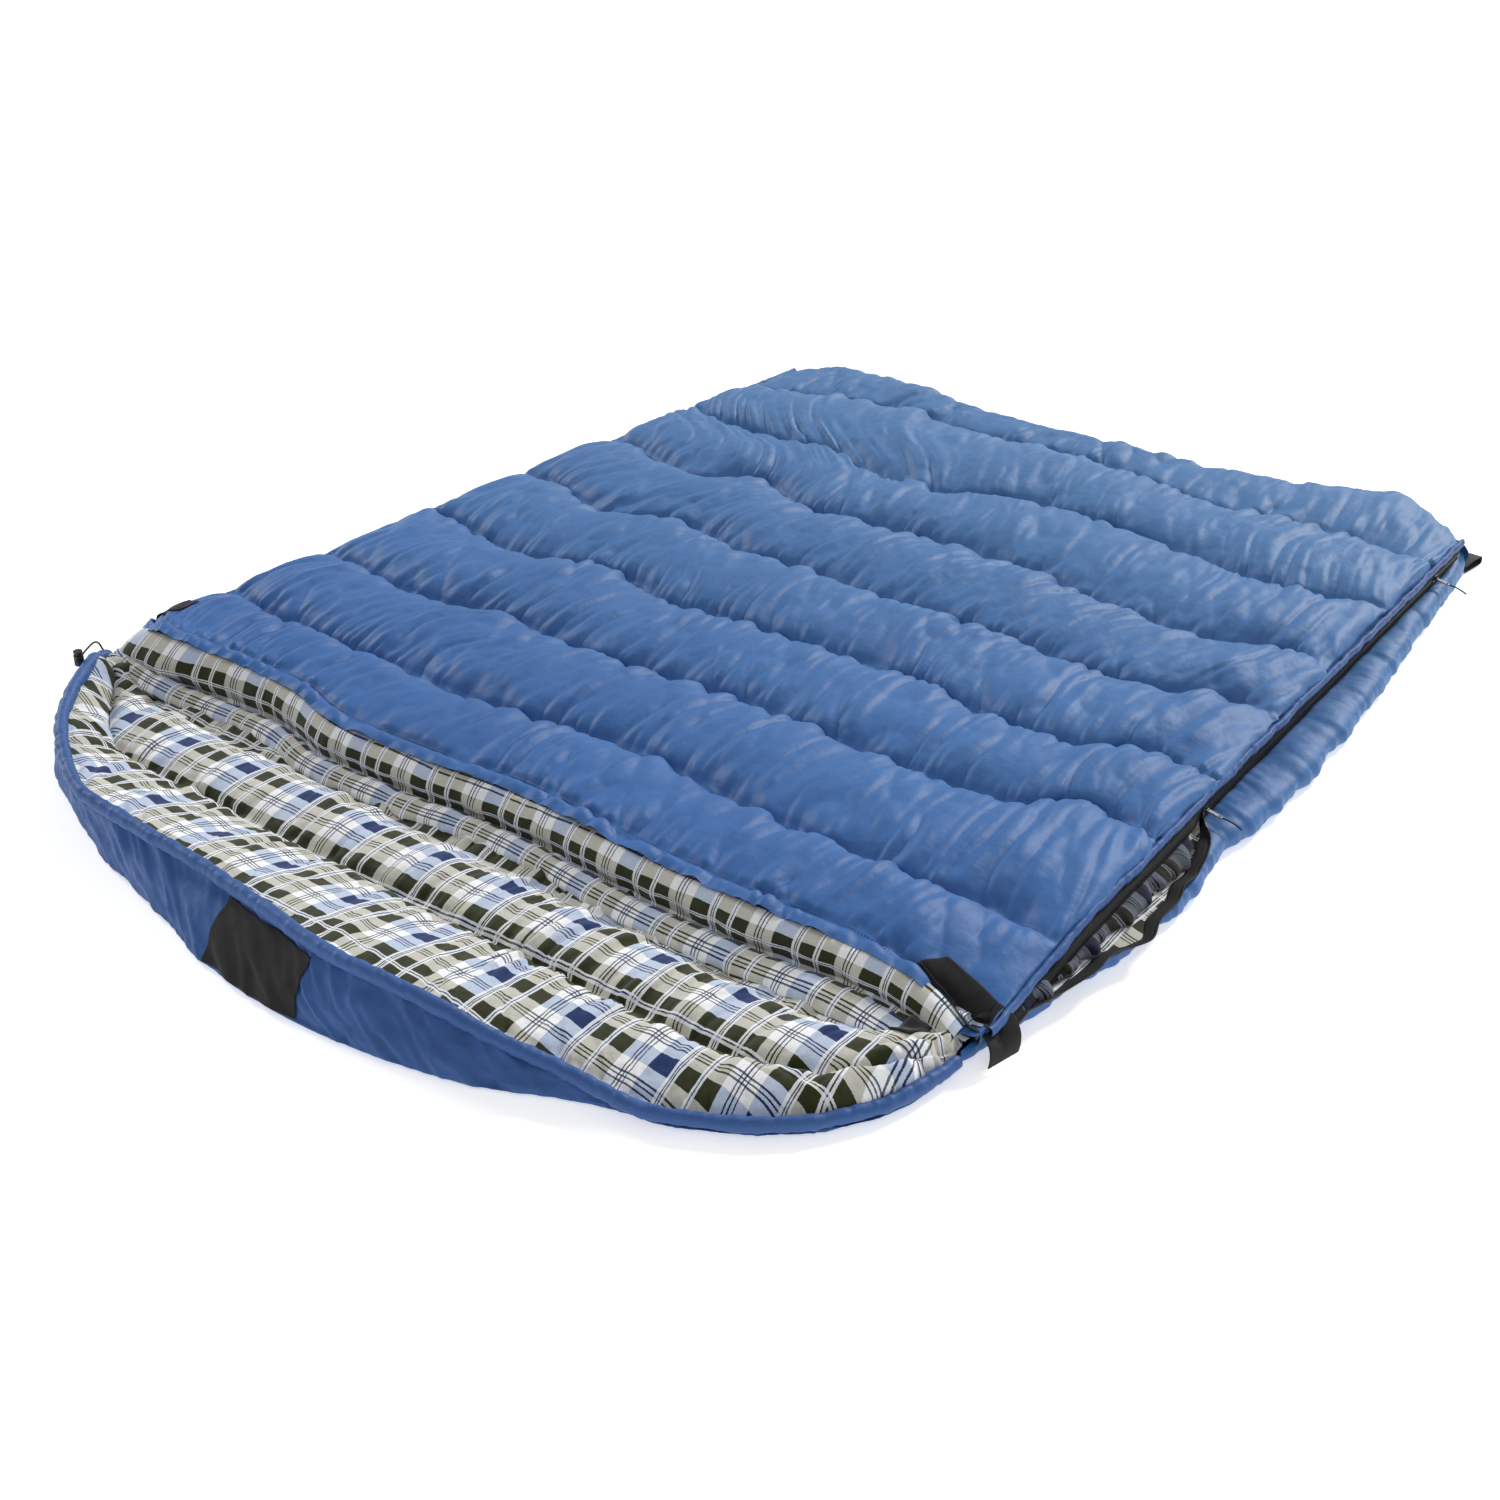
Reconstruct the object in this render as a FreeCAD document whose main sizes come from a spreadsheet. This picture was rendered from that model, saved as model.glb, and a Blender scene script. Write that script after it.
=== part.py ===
import FreeCAD, Part
import os
import math
import Sketcher
from FreeCAD import Vector, Placement, Rotation

# Rectangular two-person sleeping bag with a hood, lying flat and unzipped
# part of the way down both sides. Millimetres, +Z up, +Y towards the foot,
# origin at the bottom centre of the whole bag.

os.makedirs("parts", exist_ok=True)
doc = FreeCAD.newDocument("sleeping_bag")

# ---------------------------------------------------------------- dimensions
DIMS = [
    ("bottom_thick", 38.0),      # bottom quilt, laid flat
    ("skin", 3.0),               # a fabric skin drawn as a closed solid
    ("top_low", 62.0),           # underside of the top quilt
    ("top_thick", 42.0),         # top quilt
    ("hood_floor", 27.0),        # quilted floor of the hood
    ("hood_wall_high", 89.0),    # raised part of the hood wall, above its floor sheet
    ("hood_wall_flat", 30.0),    # part of the hood wall that lies down
    ("hood_wall_width", 45.0),
    ("fold_line_y", -10.0),       # third seam, where the head end folds back
    ("fold_gap", 0.6),
    ("zip_x", 826.0),            # zip line on the right, at the head corner
    ("tape_thick", 1.0),
    ("tape_wide", 15.0),
    ("coil_size", 3.0),
    ("coil_gap", 1.6),           # slot between the two rows of coils, for the slider's post
    ("post_thick", 1.0),
    ("slider_len", 17.0),
    ("plate_thick", 2.2),
    ("plate_tall", 11.5),
    ("plate_face", 2.0),         # plate's inner face from the zip's middle plane
    ("bar_radius", 0.9),
    ("eye_radius", 1.0),
    ("tab_long", 24.0),
    ("tab_wide", 7.0),
    ("tab_thick", 1.8),
    ("cord_dia", 3.5),
    ("casing_out", 11.0),
    ("casing_in", 4.5),
    ("lock_radius", 8.0),
    ("lock_tall", 21.0),
    ("plunger_radius", 5.0),
    ("bore_radius", 2.3),
    ("closure_wide", 58.0),
    ("closure_thick", 2.0),
    ("loop_wide", 25.0),
    ("loop_thick", 2.0),
    ("draft_radius", 10.0),
]
sheet = doc.addObject("Spreadsheet::Sheet", "Dims")
D = {}
for i, (name, value) in enumerate(DIMS):
    sheet.set("A%d" % (i + 1), name)
    sheet.set("B%d" % (i + 1), repr(value))
    sheet.setAlias("B%d" % (i + 1), name)
    D[name] = value
doc.recompute()

NODES = []


def keep(obj, label):
    obj.Label = label
    NODES.append(obj)
    return obj


def bind(obj, **props):
    for k, v in props.items():
        obj.setExpression(k.replace("__", "."), v)


def plane(body, role):
    for f in body.Origin.OriginFeatures:
        if f.Role == role:
            return f


def poly_sketch(body, name, pts, exprs=None):
    """Closed polygon on the body's XY plane; every corner is dimensioned from the origin."""
    sk = body.newObject("Sketcher::SketchObject", name)
    sk.AttachmentSupport = [(plane(body, "XY_Plane"), "")]
    sk.MapMode = "FlatFace"
    n = len(pts)
    sk.addGeometry([Part.LineSegment(Vector(pts[i][0], pts[i][1], 0), Vector(pts[(i + 1) % n][0], pts[(i + 1) % n][1], 0)) for i in range(n)], False)
    cons = [Sketcher.Constraint("Coincident", i, 2, (i + 1) % n, 1) for i in range(n)]
    for i in range(n):
        cons.append(Sketcher.Constraint("DistanceX", -1, 1, i, 1, pts[i][0]))
        cons.append(Sketcher.Constraint("DistanceY", -1, 1, i, 1, pts[i][1]))
    sk.addConstraint(cons)
    for (i, ax), ex in (exprs or {}).items():
        sk.setExpression("Constraints[%d]" % (n + 2 * i + (0 if ax == "x" else 1)), ex)
    return sk


def slab(label, pts, z_expr, height_expr, exprs=None, hollow=None, round_up=None):
    """A pad of a plan outline; hollow = (inner outline, depth expression, from_top)."""
    body = doc.addObject("PartDesign::Body", label + "_body")
    sk = poly_sketch(body, label + "_outline", pts, exprs)
    pad = body.newObject("PartDesign::Pad", label + "_pad")
    pad.Profile = sk
    bind(pad, Length=height_expr)
    body.Tip = pad
    if hollow:
        inner, depth_expr, from_top = hollow
        sk2 = poly_sketch(body, label + "_inner", inner)
        if from_top:
            bind(sk2, AttachmentOffset__Base__z=height_expr)
        doc.recompute()
        before = body.Shape.Volume
        cut = body.newObject("PartDesign::Pocket", label + "_pocket")
        cut.Profile = sk2
        cut.Type = 0
        bind(cut, Length=depth_expr)
        cut.Reversed = not from_top
        body.Tip = cut
        doc.recompute()
        if body.Shape.Volume > before - 1.0:
            raise RuntimeError(label + ": the pocket cut nothing")
    if round_up:
        doc.recompute()
        base = body.Tip
        top = base.Shape.BoundBox.ZMax
        names = ["Edge%d" % (k + 1) for k, e in enumerate(base.Shape.Edges)
                 if abs(e.BoundBox.ZMin - top) < 1e-4 and abs(e.BoundBox.ZMax - top) < 1e-4]
        fil = body.newObject("PartDesign::Chamfer", label + "_edge")
        fil.Base = (base, names)
        fil.Size = round_up
        body.Tip = fil
    bind(body, Placement__Base__z=z_expr)
    return keep(body, label)


def inset(pts, d):
    """Offset of a closed outline (counter-clockwise), inwards for d > 0."""
    n = len(pts)
    out = []
    for i in range(n):
        ax, ay = pts[i - 1]
        bx, by = pts[i]
        cx, cy = pts[(i + 1) % n]
        l1 = math.hypot(bx - ax, by - ay)
        l2 = math.hypot(cx - bx, cy - by)
        n1 = (-(by - ay) / l1, (bx - ax) / l1)
        n2 = (-(cy - by) / l2, (cx - bx) / l2)
        k = 1.0 + n1[0] * n2[0] + n1[1] * n2[1]
        out.append((bx + d * (n1[0] + n2[0]) / k, by + d * (n1[1] + n2[1]) / k))
    return out


def band(path, half):
    """Closed outline of a strip of the given half width round a plan path."""
    left, right = [], []
    n = len(path)
    for i in range(n):
        a = path[max(i - 1, 0)]
        b = path[i]
        c = path[min(i + 1, n - 1)]
        d1 = (b[0] - a[0], b[1] - a[1]) if i > 0 else (c[0] - b[0], c[1] - b[1])
        d2 = (c[0] - b[0], c[1] - b[1]) if i < n - 1 else d1
        l1, l2 = math.hypot(*d1), math.hypot(*d2)
        n1 = (-d1[1] / l1, d1[0] / l1)
        n2 = (-d2[1] / l2, d2[0] / l2)
        k = 1.0 + n1[0] * n2[0] + n1[1] * n2[1]
        m = ((n1[0] + n2[0]) / k, (n1[1] + n2[1]) / k)
        left.append((b[0] + half * m[0], b[1] + half * m[1]))
        right.append((b[0] - half * m[0], b[1] - half * m[1]))
    return right + left[::-1]


def box(name, at, size, exprs=None):
    b = doc.addObject("Part::Box", name)
    b.Length, b.Width, b.Height = size
    b.Placement = Placement(Vector(*at), Rotation())
    bind(b, **(exprs or {}))
    return b


def rod(name, at, direction, radius, length, exprs=None):
    c = doc.addObject("Part::Cylinder", name)
    c.Radius, c.Height = radius, length
    c.Placement = Placement(Vector(*at), Rotation(Vector(0, 0, 1), Vector(*direction)))
    bind(c, **(exprs or {}))
    return c


def fuse(name, parts):
    f = doc.addObject("Part::MultiFuse", name)
    f.Shapes = parts
    return f


def cut(name, base, tool):
    c = doc.addObject("Part::Cut", name)
    c.Base, c.Tool = base, tool
    return c


# ------------------------------------------------------------- plan outlines
FY = D["fold_line_y"]
ZX = D["zip_x"]
G = D["fold_gap"] / 2.0
# right and left zip lines in plan, from the head corner to the foot corner
R_ZIP = [(ZX, -690.0), (735.0, 1056.0)]
L_ZIP = [(-850.0, -600.0), (-750.0, 1056.0)]


def on_path(path, y):
    for a, b in zip(path, path[1:]):
        if a[1] <= y <= b[1]:
            return a[0] + (b[0] - a[0]) * (y - a[1]) / (b[1] - a[1])
    raise ValueError(y)


# bottom quilt, counter-clockwise from the foot end of the left side
BOTTOM = [(-778.0, 1088.0), (-792.0, 700.0), (-822.0, 250.0), (-851.0, -300.0), (-853.0, -530.0), (-853.0, -696.0),
          (832.0, -696.0), (832.0, -600.0), (858.0, -420.0), (862.0, -266.0), (850.0, 194.0),
          (822.0, 500.0), (788.0, 775.0), (762.0, 993.0), (748.0, 1088.0)]
slab("bottom_shell", BOTTOM, "0", "Dims.bottom_thick", hollow=(inset(BOTTOM, 3.0), "Dims.bottom_thick - Dims.skin", True))
slab("bottom_fill", inset(BOTTOM, 3.0), "Dims.skin", "Dims.bottom_thick - 2 * Dims.skin")
slab("bottom_lining", inset(BOTTOM, 3.0), "Dims.bottom_thick - Dims.skin", "Dims.skin")

# top quilt, head part (three channels) and foot part (five channels)
e = 0.9
TOP_HEAD = [(on_path(L_ZIP, FY - G) + e, FY - G), (on_path(L_ZIP, -600.0) + e, -600.0), (-700.0, -630.0), (-300.0, -662.0), (100.0, -690.0),
            (500.0, -708.0), (ZX - e, -690.0), (on_path(R_ZIP, FY - G) - e, FY - G)]
TOP_FOOT = [(on_path(L_ZIP, 1056.0) + e, 1056.0), (on_path(L_ZIP, FY + G) + e, FY + G), (on_path(R_ZIP, FY + G) - e, FY + G),
            (735.0 - e, 1055.9), (680.0, 1082.0), (-690.0, 1082.0)]
for name, outline in (("top_head", TOP_HEAD), ("top_foot", TOP_FOOT)):
    inner = inset(outline, 3.0)
    slab(name + "_shell", outline, "Dims.top_low", "Dims.top_thick",
         hollow=(inner, "Dims.top_thick - Dims.skin", False))
    slab(name + "_fill", inner, "Dims.top_low + Dims.skin", "Dims.top_thick - 2 * Dims.skin")
    slab(name + "_lining", inner, "Dims.top_low", "Dims.skin")

# rolled hem along the head edge of the top quilt, and the draft collar inside it
HEM = [(-840.0, -600.6), (-700.0, -630.6), (-300.0, -662.6), (100.0, -690.6), (500.0, -708.6), (800.0, -692.6)]
hem_pts = [(x, y - 17.0) for x, y in HEM] + [(x, y - 3.0) for x, y in HEM[::-1]]
slab("head_hem", hem_pts, "Dims.top_low + 10", "Dims.top_thick - 18", round_up=4.0)
COLLAR = [(-800.0, -560.0), (-300.0, -622.0), (100.0, -650.0), (500.0, -668.0), (790.0, -655.0)]

# foot end binding, where the two quilts are sewn together
slab("foot_seam_binding", [(-745.0, 1088.4), (744.0, 1088.4), (744.0, 1096.4), (-745.0, 1096.4)], "14", "Dims.bottom_thick - 8", round_up=2.0)

# ------------------------------------------------------------------ the hood
SEAM = -697.0
HOOD = [(805.0, SEAM), (-853.0, SEAM), (-862.0, -760.0), (-786.0, -868.0), (-611.0, -971.0), (-454.0, -1035.0), (-301.0, -1084.0),
        (-169.0, -1125.0), (-62.0, -1155.4), (40.0, -1158.4), (147.0, -1156.4), (230.0, -1146.0), (369.0, -1110.0),
        (439.0, -1080.0), (517.0, -1052.0), (591.0, -1030.0), (658.0, -1000.0), (721.0, -952.0), (762.0, -895.0),
        (792.0, -837.0), (806.0, -753.0)]
arc = HOOD[2:]                      # the free edge, left to right
HOOD_IN = inset(HOOD, D["hood_wall_width"])
arc_in = HOOD_IN[2:]
slab("hood_shell", HOOD, "0", "Dims.skin")
core = [(HOOD_IN[-1][0], SEAM)] + [(HOOD_IN[1][0], SEAM)] + arc_in
core = [(770.0, SEAM), (-816.0, SEAM)] + [p for p in arc_in]
slab("hood_fill", inset(core, 0.2), "Dims.skin", "Dims.hood_floor - 2 * Dims.skin")
slab("hood_lining", inset(core, 0.2), "Dims.hood_floor - Dims.skin", "Dims.skin")
# the wall: raised on the left and in the middle, lying down on the right
k = 10                              # arc index of the corner where the wall comes down
wall_high = arc[:k] + arc_in[:k][::-1]
wall_flat = arc[k - 1:] + arc_in[k - 1:][::-1]
# shift the two walls' shared edge apart so that they meet face to face
slab("hood_wall", wall_high[::1], "Dims.skin", "Dims.hood_wall_high")
slab("hood_wall_low", wall_flat[::1], "Dims.skin", "Dims.hood_wall_flat")


def rounded(points, share=0.45):
    """Straight runs joined by tangent arcs; returns the wire, its length and the radii."""
    P = [Vector(*p) for p in points]
    lens = [(P[i + 1] - P[i]).Length for i in range(len(P) - 1)]
    edges, radii, start = [], [], P[0]
    for i in range(1, len(P) - 1):
        u = (P[i] - P[i - 1]).normalize()
        v = (P[i + 1] - P[i]).normalize()
        turn = u.getAngle(v)
        t = share * min(lens[i - 1], lens[i])
        r = t / math.tan(turn / 2.0)
        a = P[i] - u * t
        b = P[i] + v * t
        bis = (v - u).normalize()
        centre = P[i] + bis * (r / math.cos(turn / 2.0))
        mid = centre - bis * r
        edges.append(Part.LineSegment(start, a).toShape())
        edges.append(Part.Arc(a, mid, b).toShape())
        radii.append(r)
        start = b
    edges.append(Part.LineSegment(start, P[-1]).toShape())
    wire = Part.Wire(edges)
    return wire, wire.Length, radii


def tube(label, points, radius, inner=None, no_check=False):
    """A round tube along the rounded route, with an optional bore."""
    wire, length, radii = rounded(points)
    first = Vector(*points[0])
    way = (Vector(*points[1]) - first).normalize()

    def sweep(r):
        ring = Part.Wire([Part.makeCircle(r, first, way)])
        return wire.makePipeShell([ring], True, False)
    shape = sweep(radius)
    area = math.pi * radius ** 2
    if inner:
        shape = shape.cut(sweep(inner))
        area -= math.pi * inner ** 2
    if shape.ShapeType == "Compound" and len(shape.Solids) == 1:
        shape = shape.Solids[0]
    print("%s: length %.1f, radii %s, volume/section x length %.4f" % (
        label, length, ", ".join("%.0f" % r for r in radii), shape.Volume / (area * length)))
    f = doc.addObject("Part::Feature", label + "_tube")
    f.Shape = shape
    f.Placement = Placement()
    return keep(f, label)


tube("draft_collar", [(p[0], p[1], 55.0) for p in COLLAR], 6.5)

# rim: the casing along the wall's top and the cord that runs in it
mid = inset(HOOD, D["hood_wall_width"] / 2.0)[2:]
z_hi = D["skin"] + D["hood_wall_high"] + D["casing_out"] + 0.1
z_lo = D["skin"] + D["hood_wall_flat"] + D["casing_out"] + 0.1
RIM = [(-806.0, -800.0, z_hi), (-775.0, -847.0, z_hi), (-700.0, -893.0, z_hi)] + [(p[0], p[1], z_hi) for p in mid[2:9]] + \
      [(292.0, -1108.0, z_hi)]
RIM_LOW = [(388.0, -1078.0, z_lo + 4), (437.0, -1054.0, z_lo)] + [(p[0], p[1], z_lo) for p in mid[12:]] + [(784.0, -722.0, z_lo)]
RIM_ALL = RIM + RIM_LOW
tube("hood_rim_casing", RIM_ALL, D["casing_out"], D["casing_in"])
tube("hood_drawcord", RIM_ALL, D["cord_dia"] / 2.0)

# cord lock and the free tail of the drawcord, at the left end of the rim
ux, uy = (RIM[0][0] - RIM[1][0]), (RIM[0][1] - RIM[1][1])
ul = math.hypot(ux, uy)
ux, uy = ux / ul, uy / ul
ex, ey = RIM[0][0], RIM[0][1]
LOCK = (ex + ux * 14.0, ey + uy * 14.0)
sx_, sy_ = ex + ux * 62.0, ey + uy * 62.0
TAIL = [(ex, ey, z_hi), (sx_, sy_, z_hi), (sx_ - 20, sy_ + 31, z_hi - 9), (sx_ - 31, sy_ + 47, z_hi - 38), (sx_ - 25, sy_ + 58, z_hi - 66)]
print("tail route", [tuple(round(c, 1) for c in p) for p in TAIL])
tube("drawcord_tail", TAIL, D["cord_dia"] / 2.0)

lz = z_hi - 10.0
barrel = rod("lock_barrel", (LOCK[0], LOCK[1], lz), (0, 0, 1), 8.0, 17.0, {"Radius": "Dims.lock_radius", "Height": "Dims.lock_tall - 4"})
cavity = rod("lock_cavity", (LOCK[0], LOCK[1], lz + 2.0), (0, 0, 1), 5.2, 20.0, {"Radius": "Dims.plunger_radius + 0.2"})
bore = rod("lock_bore", (LOCK[0] - ux * 12, LOCK[1] - uy * 12, z_hi), (ux, uy, 0), 2.3, 24.0, {"Radius": "Dims.bore_radius"})
keep(cut("lock_body_cut", cut("lock_body_hollow", barrel, cavity), bore), "cord_lock_body")
stem = rod("plunger_stem", (LOCK[0], LOCK[1], lz + 6.6), (0, 0, 1), 5.0, 11.0, {"Radius": "Dims.plunger_radius"})
cap = rod("plunger_cap", (LOCK[0], LOCK[1], lz + 21.3), (0, 0, 1), 7.4, 3.0)
neck = rod("plunger_neck", (LOCK[0], LOCK[1], lz + 16.0), (0, 0, 1), 5.0, 6.0, {"Radius": "Dims.plunger_radius"})
slot_a = rod("plunger_bore_a", (LOCK[0] - ux * 12, LOCK[1] - uy * 12, z_hi + 0.4), (ux, uy, 0), 2.3, 24.0, {"Radius": "Dims.bore_radius"})
slot_b = rod("plunger_bore_b", (LOCK[0] - ux * 12, LOCK[1] - uy * 12, z_hi + 4.6), (ux, uy, 0), 2.3, 24.0, {"Radius": "Dims.bore_radius"})
slot_c = rod("plunger_bore_c", (LOCK[0] - ux * 12, LOCK[1] - uy * 12, z_hi + 2.5), (ux, uy, 0), 2.3, 24.0, {"Radius": "Dims.bore_radius"})
keep(cut("lock_button_cut", fuse("lock_button_solid", [stem, neck, cap]), fuse("lock_button_slot", [slot_a, slot_b, slot_c])), "cord_lock_button")
sleeve = rod("spring_outer", (LOCK[0], LOCK[1], lz + 2.2), (0, 0, 1), 4.2, 4.2)
keep(cut("lock_spring_cut", sleeve, rod("spring_inner", (LOCK[0], LOCK[1], lz + 1.0), (0, 0, 1), 3.0, 7.0)), "cord_lock_spring")
print("lock", [round(v, 2) for v in LOCK], "z", round(lz, 2), "rim z", z_hi, z_lo)

# plain woven label on the outside of the hood wall
lab = box("hood_label_box", (-56.0, -1160.0, 12.0), (198.0, 1.5, 76.0))
keep(lab, "hood_label")

# --------------------------------------------------------- zips on both sides
low_z = "Dims.bottom_thick"
tape_h = "Dims.tape_wide"
for side, path in (("right", R_ZIP), ("left", L_ZIP)):
    xh = on_path(path, FY - G)
    xf = on_path(path, FY + G)
    head = [path[0], (xh, FY - G)]
    foot = [(xf, FY + G)] + [p for p in path if p[1] > FY + G]
    head = [(p[0], max(p[1], path[0][1])) for p in head]
    for part, run in (("lower", path), ("upper_head", head), ("upper_foot", foot)):
        if part == "lower":
            zt, zc = "Dims.bottom_thick", "Dims.bottom_thick + Dims.tape_wide"
        else:
            zt = "Dims.bottom_thick + Dims.tape_wide + 2 * Dims.coil_size + Dims.coil_gap"
            zc = "Dims.bottom_thick + Dims.tape_wide + Dims.coil_size + Dims.coil_gap"
        slab("%s_%s_tape" % (side, part), band(run, 0.5), zt, tape_h)
        slab("%s_%s_coil" % (side, part), band(run, 1.5), zc, "Dims.coil_size")

# draft tubes: a roll of lining and fill along each zip, inside
for side, run in (("right", [(797.0, -640.0), (709.0, 1040.0)]), ("left", [(-822.0, -600.0), (-722.0, 1040.0)])):
    pieces = []
    for i, (a, b) in enumerate(zip(run, run[1:])):
        pieces.append(rod("%s_draft_run_%d" % (side, i), (a[0], a[1], 48.2), (b[0] - a[0], b[1] - a[1], 0), 10.0, math.hypot(b[0] - a[0], b[1] - a[1]), {"Radius": "Dims.draft_radius"}))
    for i, p in enumerate(run[1:-1]):
        s = doc.addObject("Part::Sphere", "%s_draft_bend_%d" % (side, i))
        s.Placement = Placement(Vector(p[0], p[1], 48.2), Rotation())
        bind(s, Radius="Dims.draft_radius")
        pieces.append(s)
    keep(fuse(side + "_draft_fuse", pieces) if len(pieces) > 1 else pieces[0], side + "_draft_tube")

# end stops: a small clamp on the lower tape at each end of each zip
stops = []
for i, (x, y) in enumerate([(on_path(R_ZIP, -686.0), -686.0), (on_path(R_ZIP, 1052.0), 1052.0), (-849.8, -596.0), (-750.2, 1052.0)]):
    outer = box("stop_%d" % i, (x - 3.0, y - 3.0, 56.2), (6.0, 6.0, 1.2))
    stops.append(outer)
stopsf = fuse("zip_stops_fuse", stops)
keep(stopsf, "zip_end_stops")

# sliders: two plates joined by a thin post that runs between the coils, a
# bridge on the outer plate, and a pull tab that swings about the bridge's bar
mid_z = D["bottom_thick"] + D["tape_wide"] + D["coil_size"] + D["coil_gap"] / 2.0
SLIDERS = {
    "right_mid": ((on_path(R_ZIP, -45.0), -45.0), (R_ZIP[1][0] - R_ZIP[0][0], R_ZIP[1][1] - R_ZIP[0][1]), 1),
    "right_foot": ((on_path(R_ZIP, 920.0), 920.0), (R_ZIP[1][0] - R_ZIP[0][0], R_ZIP[1][1] - R_ZIP[0][1]), 1),
    "left_mid": ((on_path(L_ZIP, -45.0), -45.0), (L_ZIP[1][0] - L_ZIP[0][0], L_ZIP[1][1] - L_ZIP[0][1]), -1),
    "left_foot": ((on_path(L_ZIP, 940.0), 940.0), (L_ZIP[1][0] - L_ZIP[0][0], L_ZIP[1][1] - L_ZIP[0][1]), -1),
}
TABTILT = 14.0
for name, (pos, along, sx) in SLIDERS.items():
    # local frame: local y runs along the zip, local x points outwards
    ang = math.degrees(math.atan2(along[1], along[0])) - 90.0
    place = Placement(Vector(pos[0], pos[1], mid_z), Rotation(Vector(0, 0, 1), ang if sx > 0 else ang + 180.0))
    L = D["slider_len"]
    inner = box(name + "_inner_plate", (-4.2, -L / 2, -6.6), (2.2, L, 11.4), {
        "Placement.Base.x": "-Dims.plate_face - Dims.plate_thick", "Length": "Dims.plate_thick", "Width": "Dims.slider_len"})
    outer = box(name + "_outer_plate", (2.0, -L / 2, -6.6), (2.2, L, 13.2), {
        "Placement.Base.x": "Dims.plate_face", "Length": "Dims.plate_thick", "Width": "Dims.slider_len"})
    post = box(name + "_post", (-2.1, L / 2 - 5.0, -0.5), (4.2, 4.5, 1.0), {"Height": "Dims.post_thick"})
    ear_a = box(name + "_ear_a", (4.1, -6.0, -1.8), (4.9, 1.6, 3.6))
    ear_b = box(name + "_ear_b", (4.1, 4.4, -1.8), (4.9, 1.6, 3.6))
    bar = rod(name + "_bar", (7.2, -5.0, 0.0), (0, 1, 0), 0.9, 10.0, {"Radius": "Dims.bar_radius"})
    whole = fuse(name + "_slider_fuse", [inner, outer, post, ear_a, ear_b, bar])
    whole.Placement = place
    keep(whole, name + "_slider")
    # pull tab lying down and outwards at the tilt, eye round the bar
    eye = rod(name + "_eye", (0, -3.4, 0), (0, 1, 0), 2.1, 6.8)
    leaf = box(name + "_leaf", (1.4, -3.4, -0.9), (22.6, 6.8, 1.8), {"Length": "Dims.tab_long - 1.4", "Height": "Dims.tab_thick"})
    hole = rod(name + "_hole", (0, -4.0, 0), (0, 1, 0), 1.0, 8.0, {"Radius": "Dims.eye_radius"})
    slot = rod(name + "_cord_hole", (20.0, 0, -3.0), (0, 0, 1), 2.1, 6.0)
    tab = cut(name + "_tab_cut", fuse(name + "_tab_solid", [eye, leaf]), fuse(name + "_tab_holes", [hole, slot]))
    tab.Placement = place.multiply(Placement(Vector(7.2, 0, 0), Rotation(Vector(0, 1, 0), TABTILT)))
    keep(tab, name + "_pull_tab")
    # pull cord: a short knotted end of cord through the tab's hole
    t = math.radians(TABTILT)
    pts = []
    for a, b, c in [(24.4, -0.6, 0.4), (35.0, 1.6, 0.9), (46.0, 1.2, 0.6), (57.0, -1.4, -0.6)]:
        # a runs along the tab, b across it, c off its face
        lx = 7.2 + a * math.cos(t) - 0 * c
        lz2 = -a * math.sin(t) + c
        v = place.multVec(Vector(lx, b, lz2))
        pts.append((v.x, v.y, v.z))
    print(name, "cord route", [tuple(round(q, 1) for q in p) for p in pts], "slider", [round(q, 2) for q in (pos[0], pos[1], mid_z)])
    tube(name + "_pull_cord", [tuple(p) for p in pts], 1.3)

# ------------------------------------------------ closure tabs and hook patches
tz = D["top_low"] + D["top_thick"]
for side, sx, y0 in (("right", 1, -684.0), ("left", -1, -596.0)):
    xe = 834.2 if sx > 0 else -855.2
    xi = 736.0 if sx > 0 else -(850.0 - 10.0)
    patch = box(side + "_closure_patch", (xi, y0, tz), (80.0, 58.0, 2.0), {"Width": "Dims.closure_wide", "Height": "Dims.closure_thick"})
    keep(patch, side + "_closure_patch")
    x1 = xe if sx > 0 else xe - 2.0
    flap = box(side + "_closure_flap", (x1, y0, 14.0), (2.0, 58.0, tz - 14.0), {"Length": "Dims.closure_thick", "Width": "Dims.closure_wide"})
    # short knuckle of doubled webbing that carries the flap over the edge
    knuckle = box(side + "_closure_fold", (819.0 if sx > 0 else xe - 2.0, y0, tz + 0.3), (17.2 if sx > 0 else 11.2, 58.0, 2.0), {"Width": "Dims.closure_wide"})
    keep(fuse(side + "_closure_fuse", [flap, knuckle, box(side + "_closure_corner", (x1, y0, tz - 0.5), (2.0, 58.0, 1.5), {"Width": "Dims.closure_wide"})]), side + "_closure_tab")
    hp = box(side + "_hook_patch_box", ((832.0 if sx > 0 else -854.5), y0 + 4.0, 14.0), (1.5, 50.0, 20.0))
    keep(hp, side + "_hook_patch")
strip = box("inner_hook_strip_box", (738.0, -668.0, 38.0), (34.0, 55.0, 1.6))
keep(strip, "inner_hook_strip")

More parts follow.
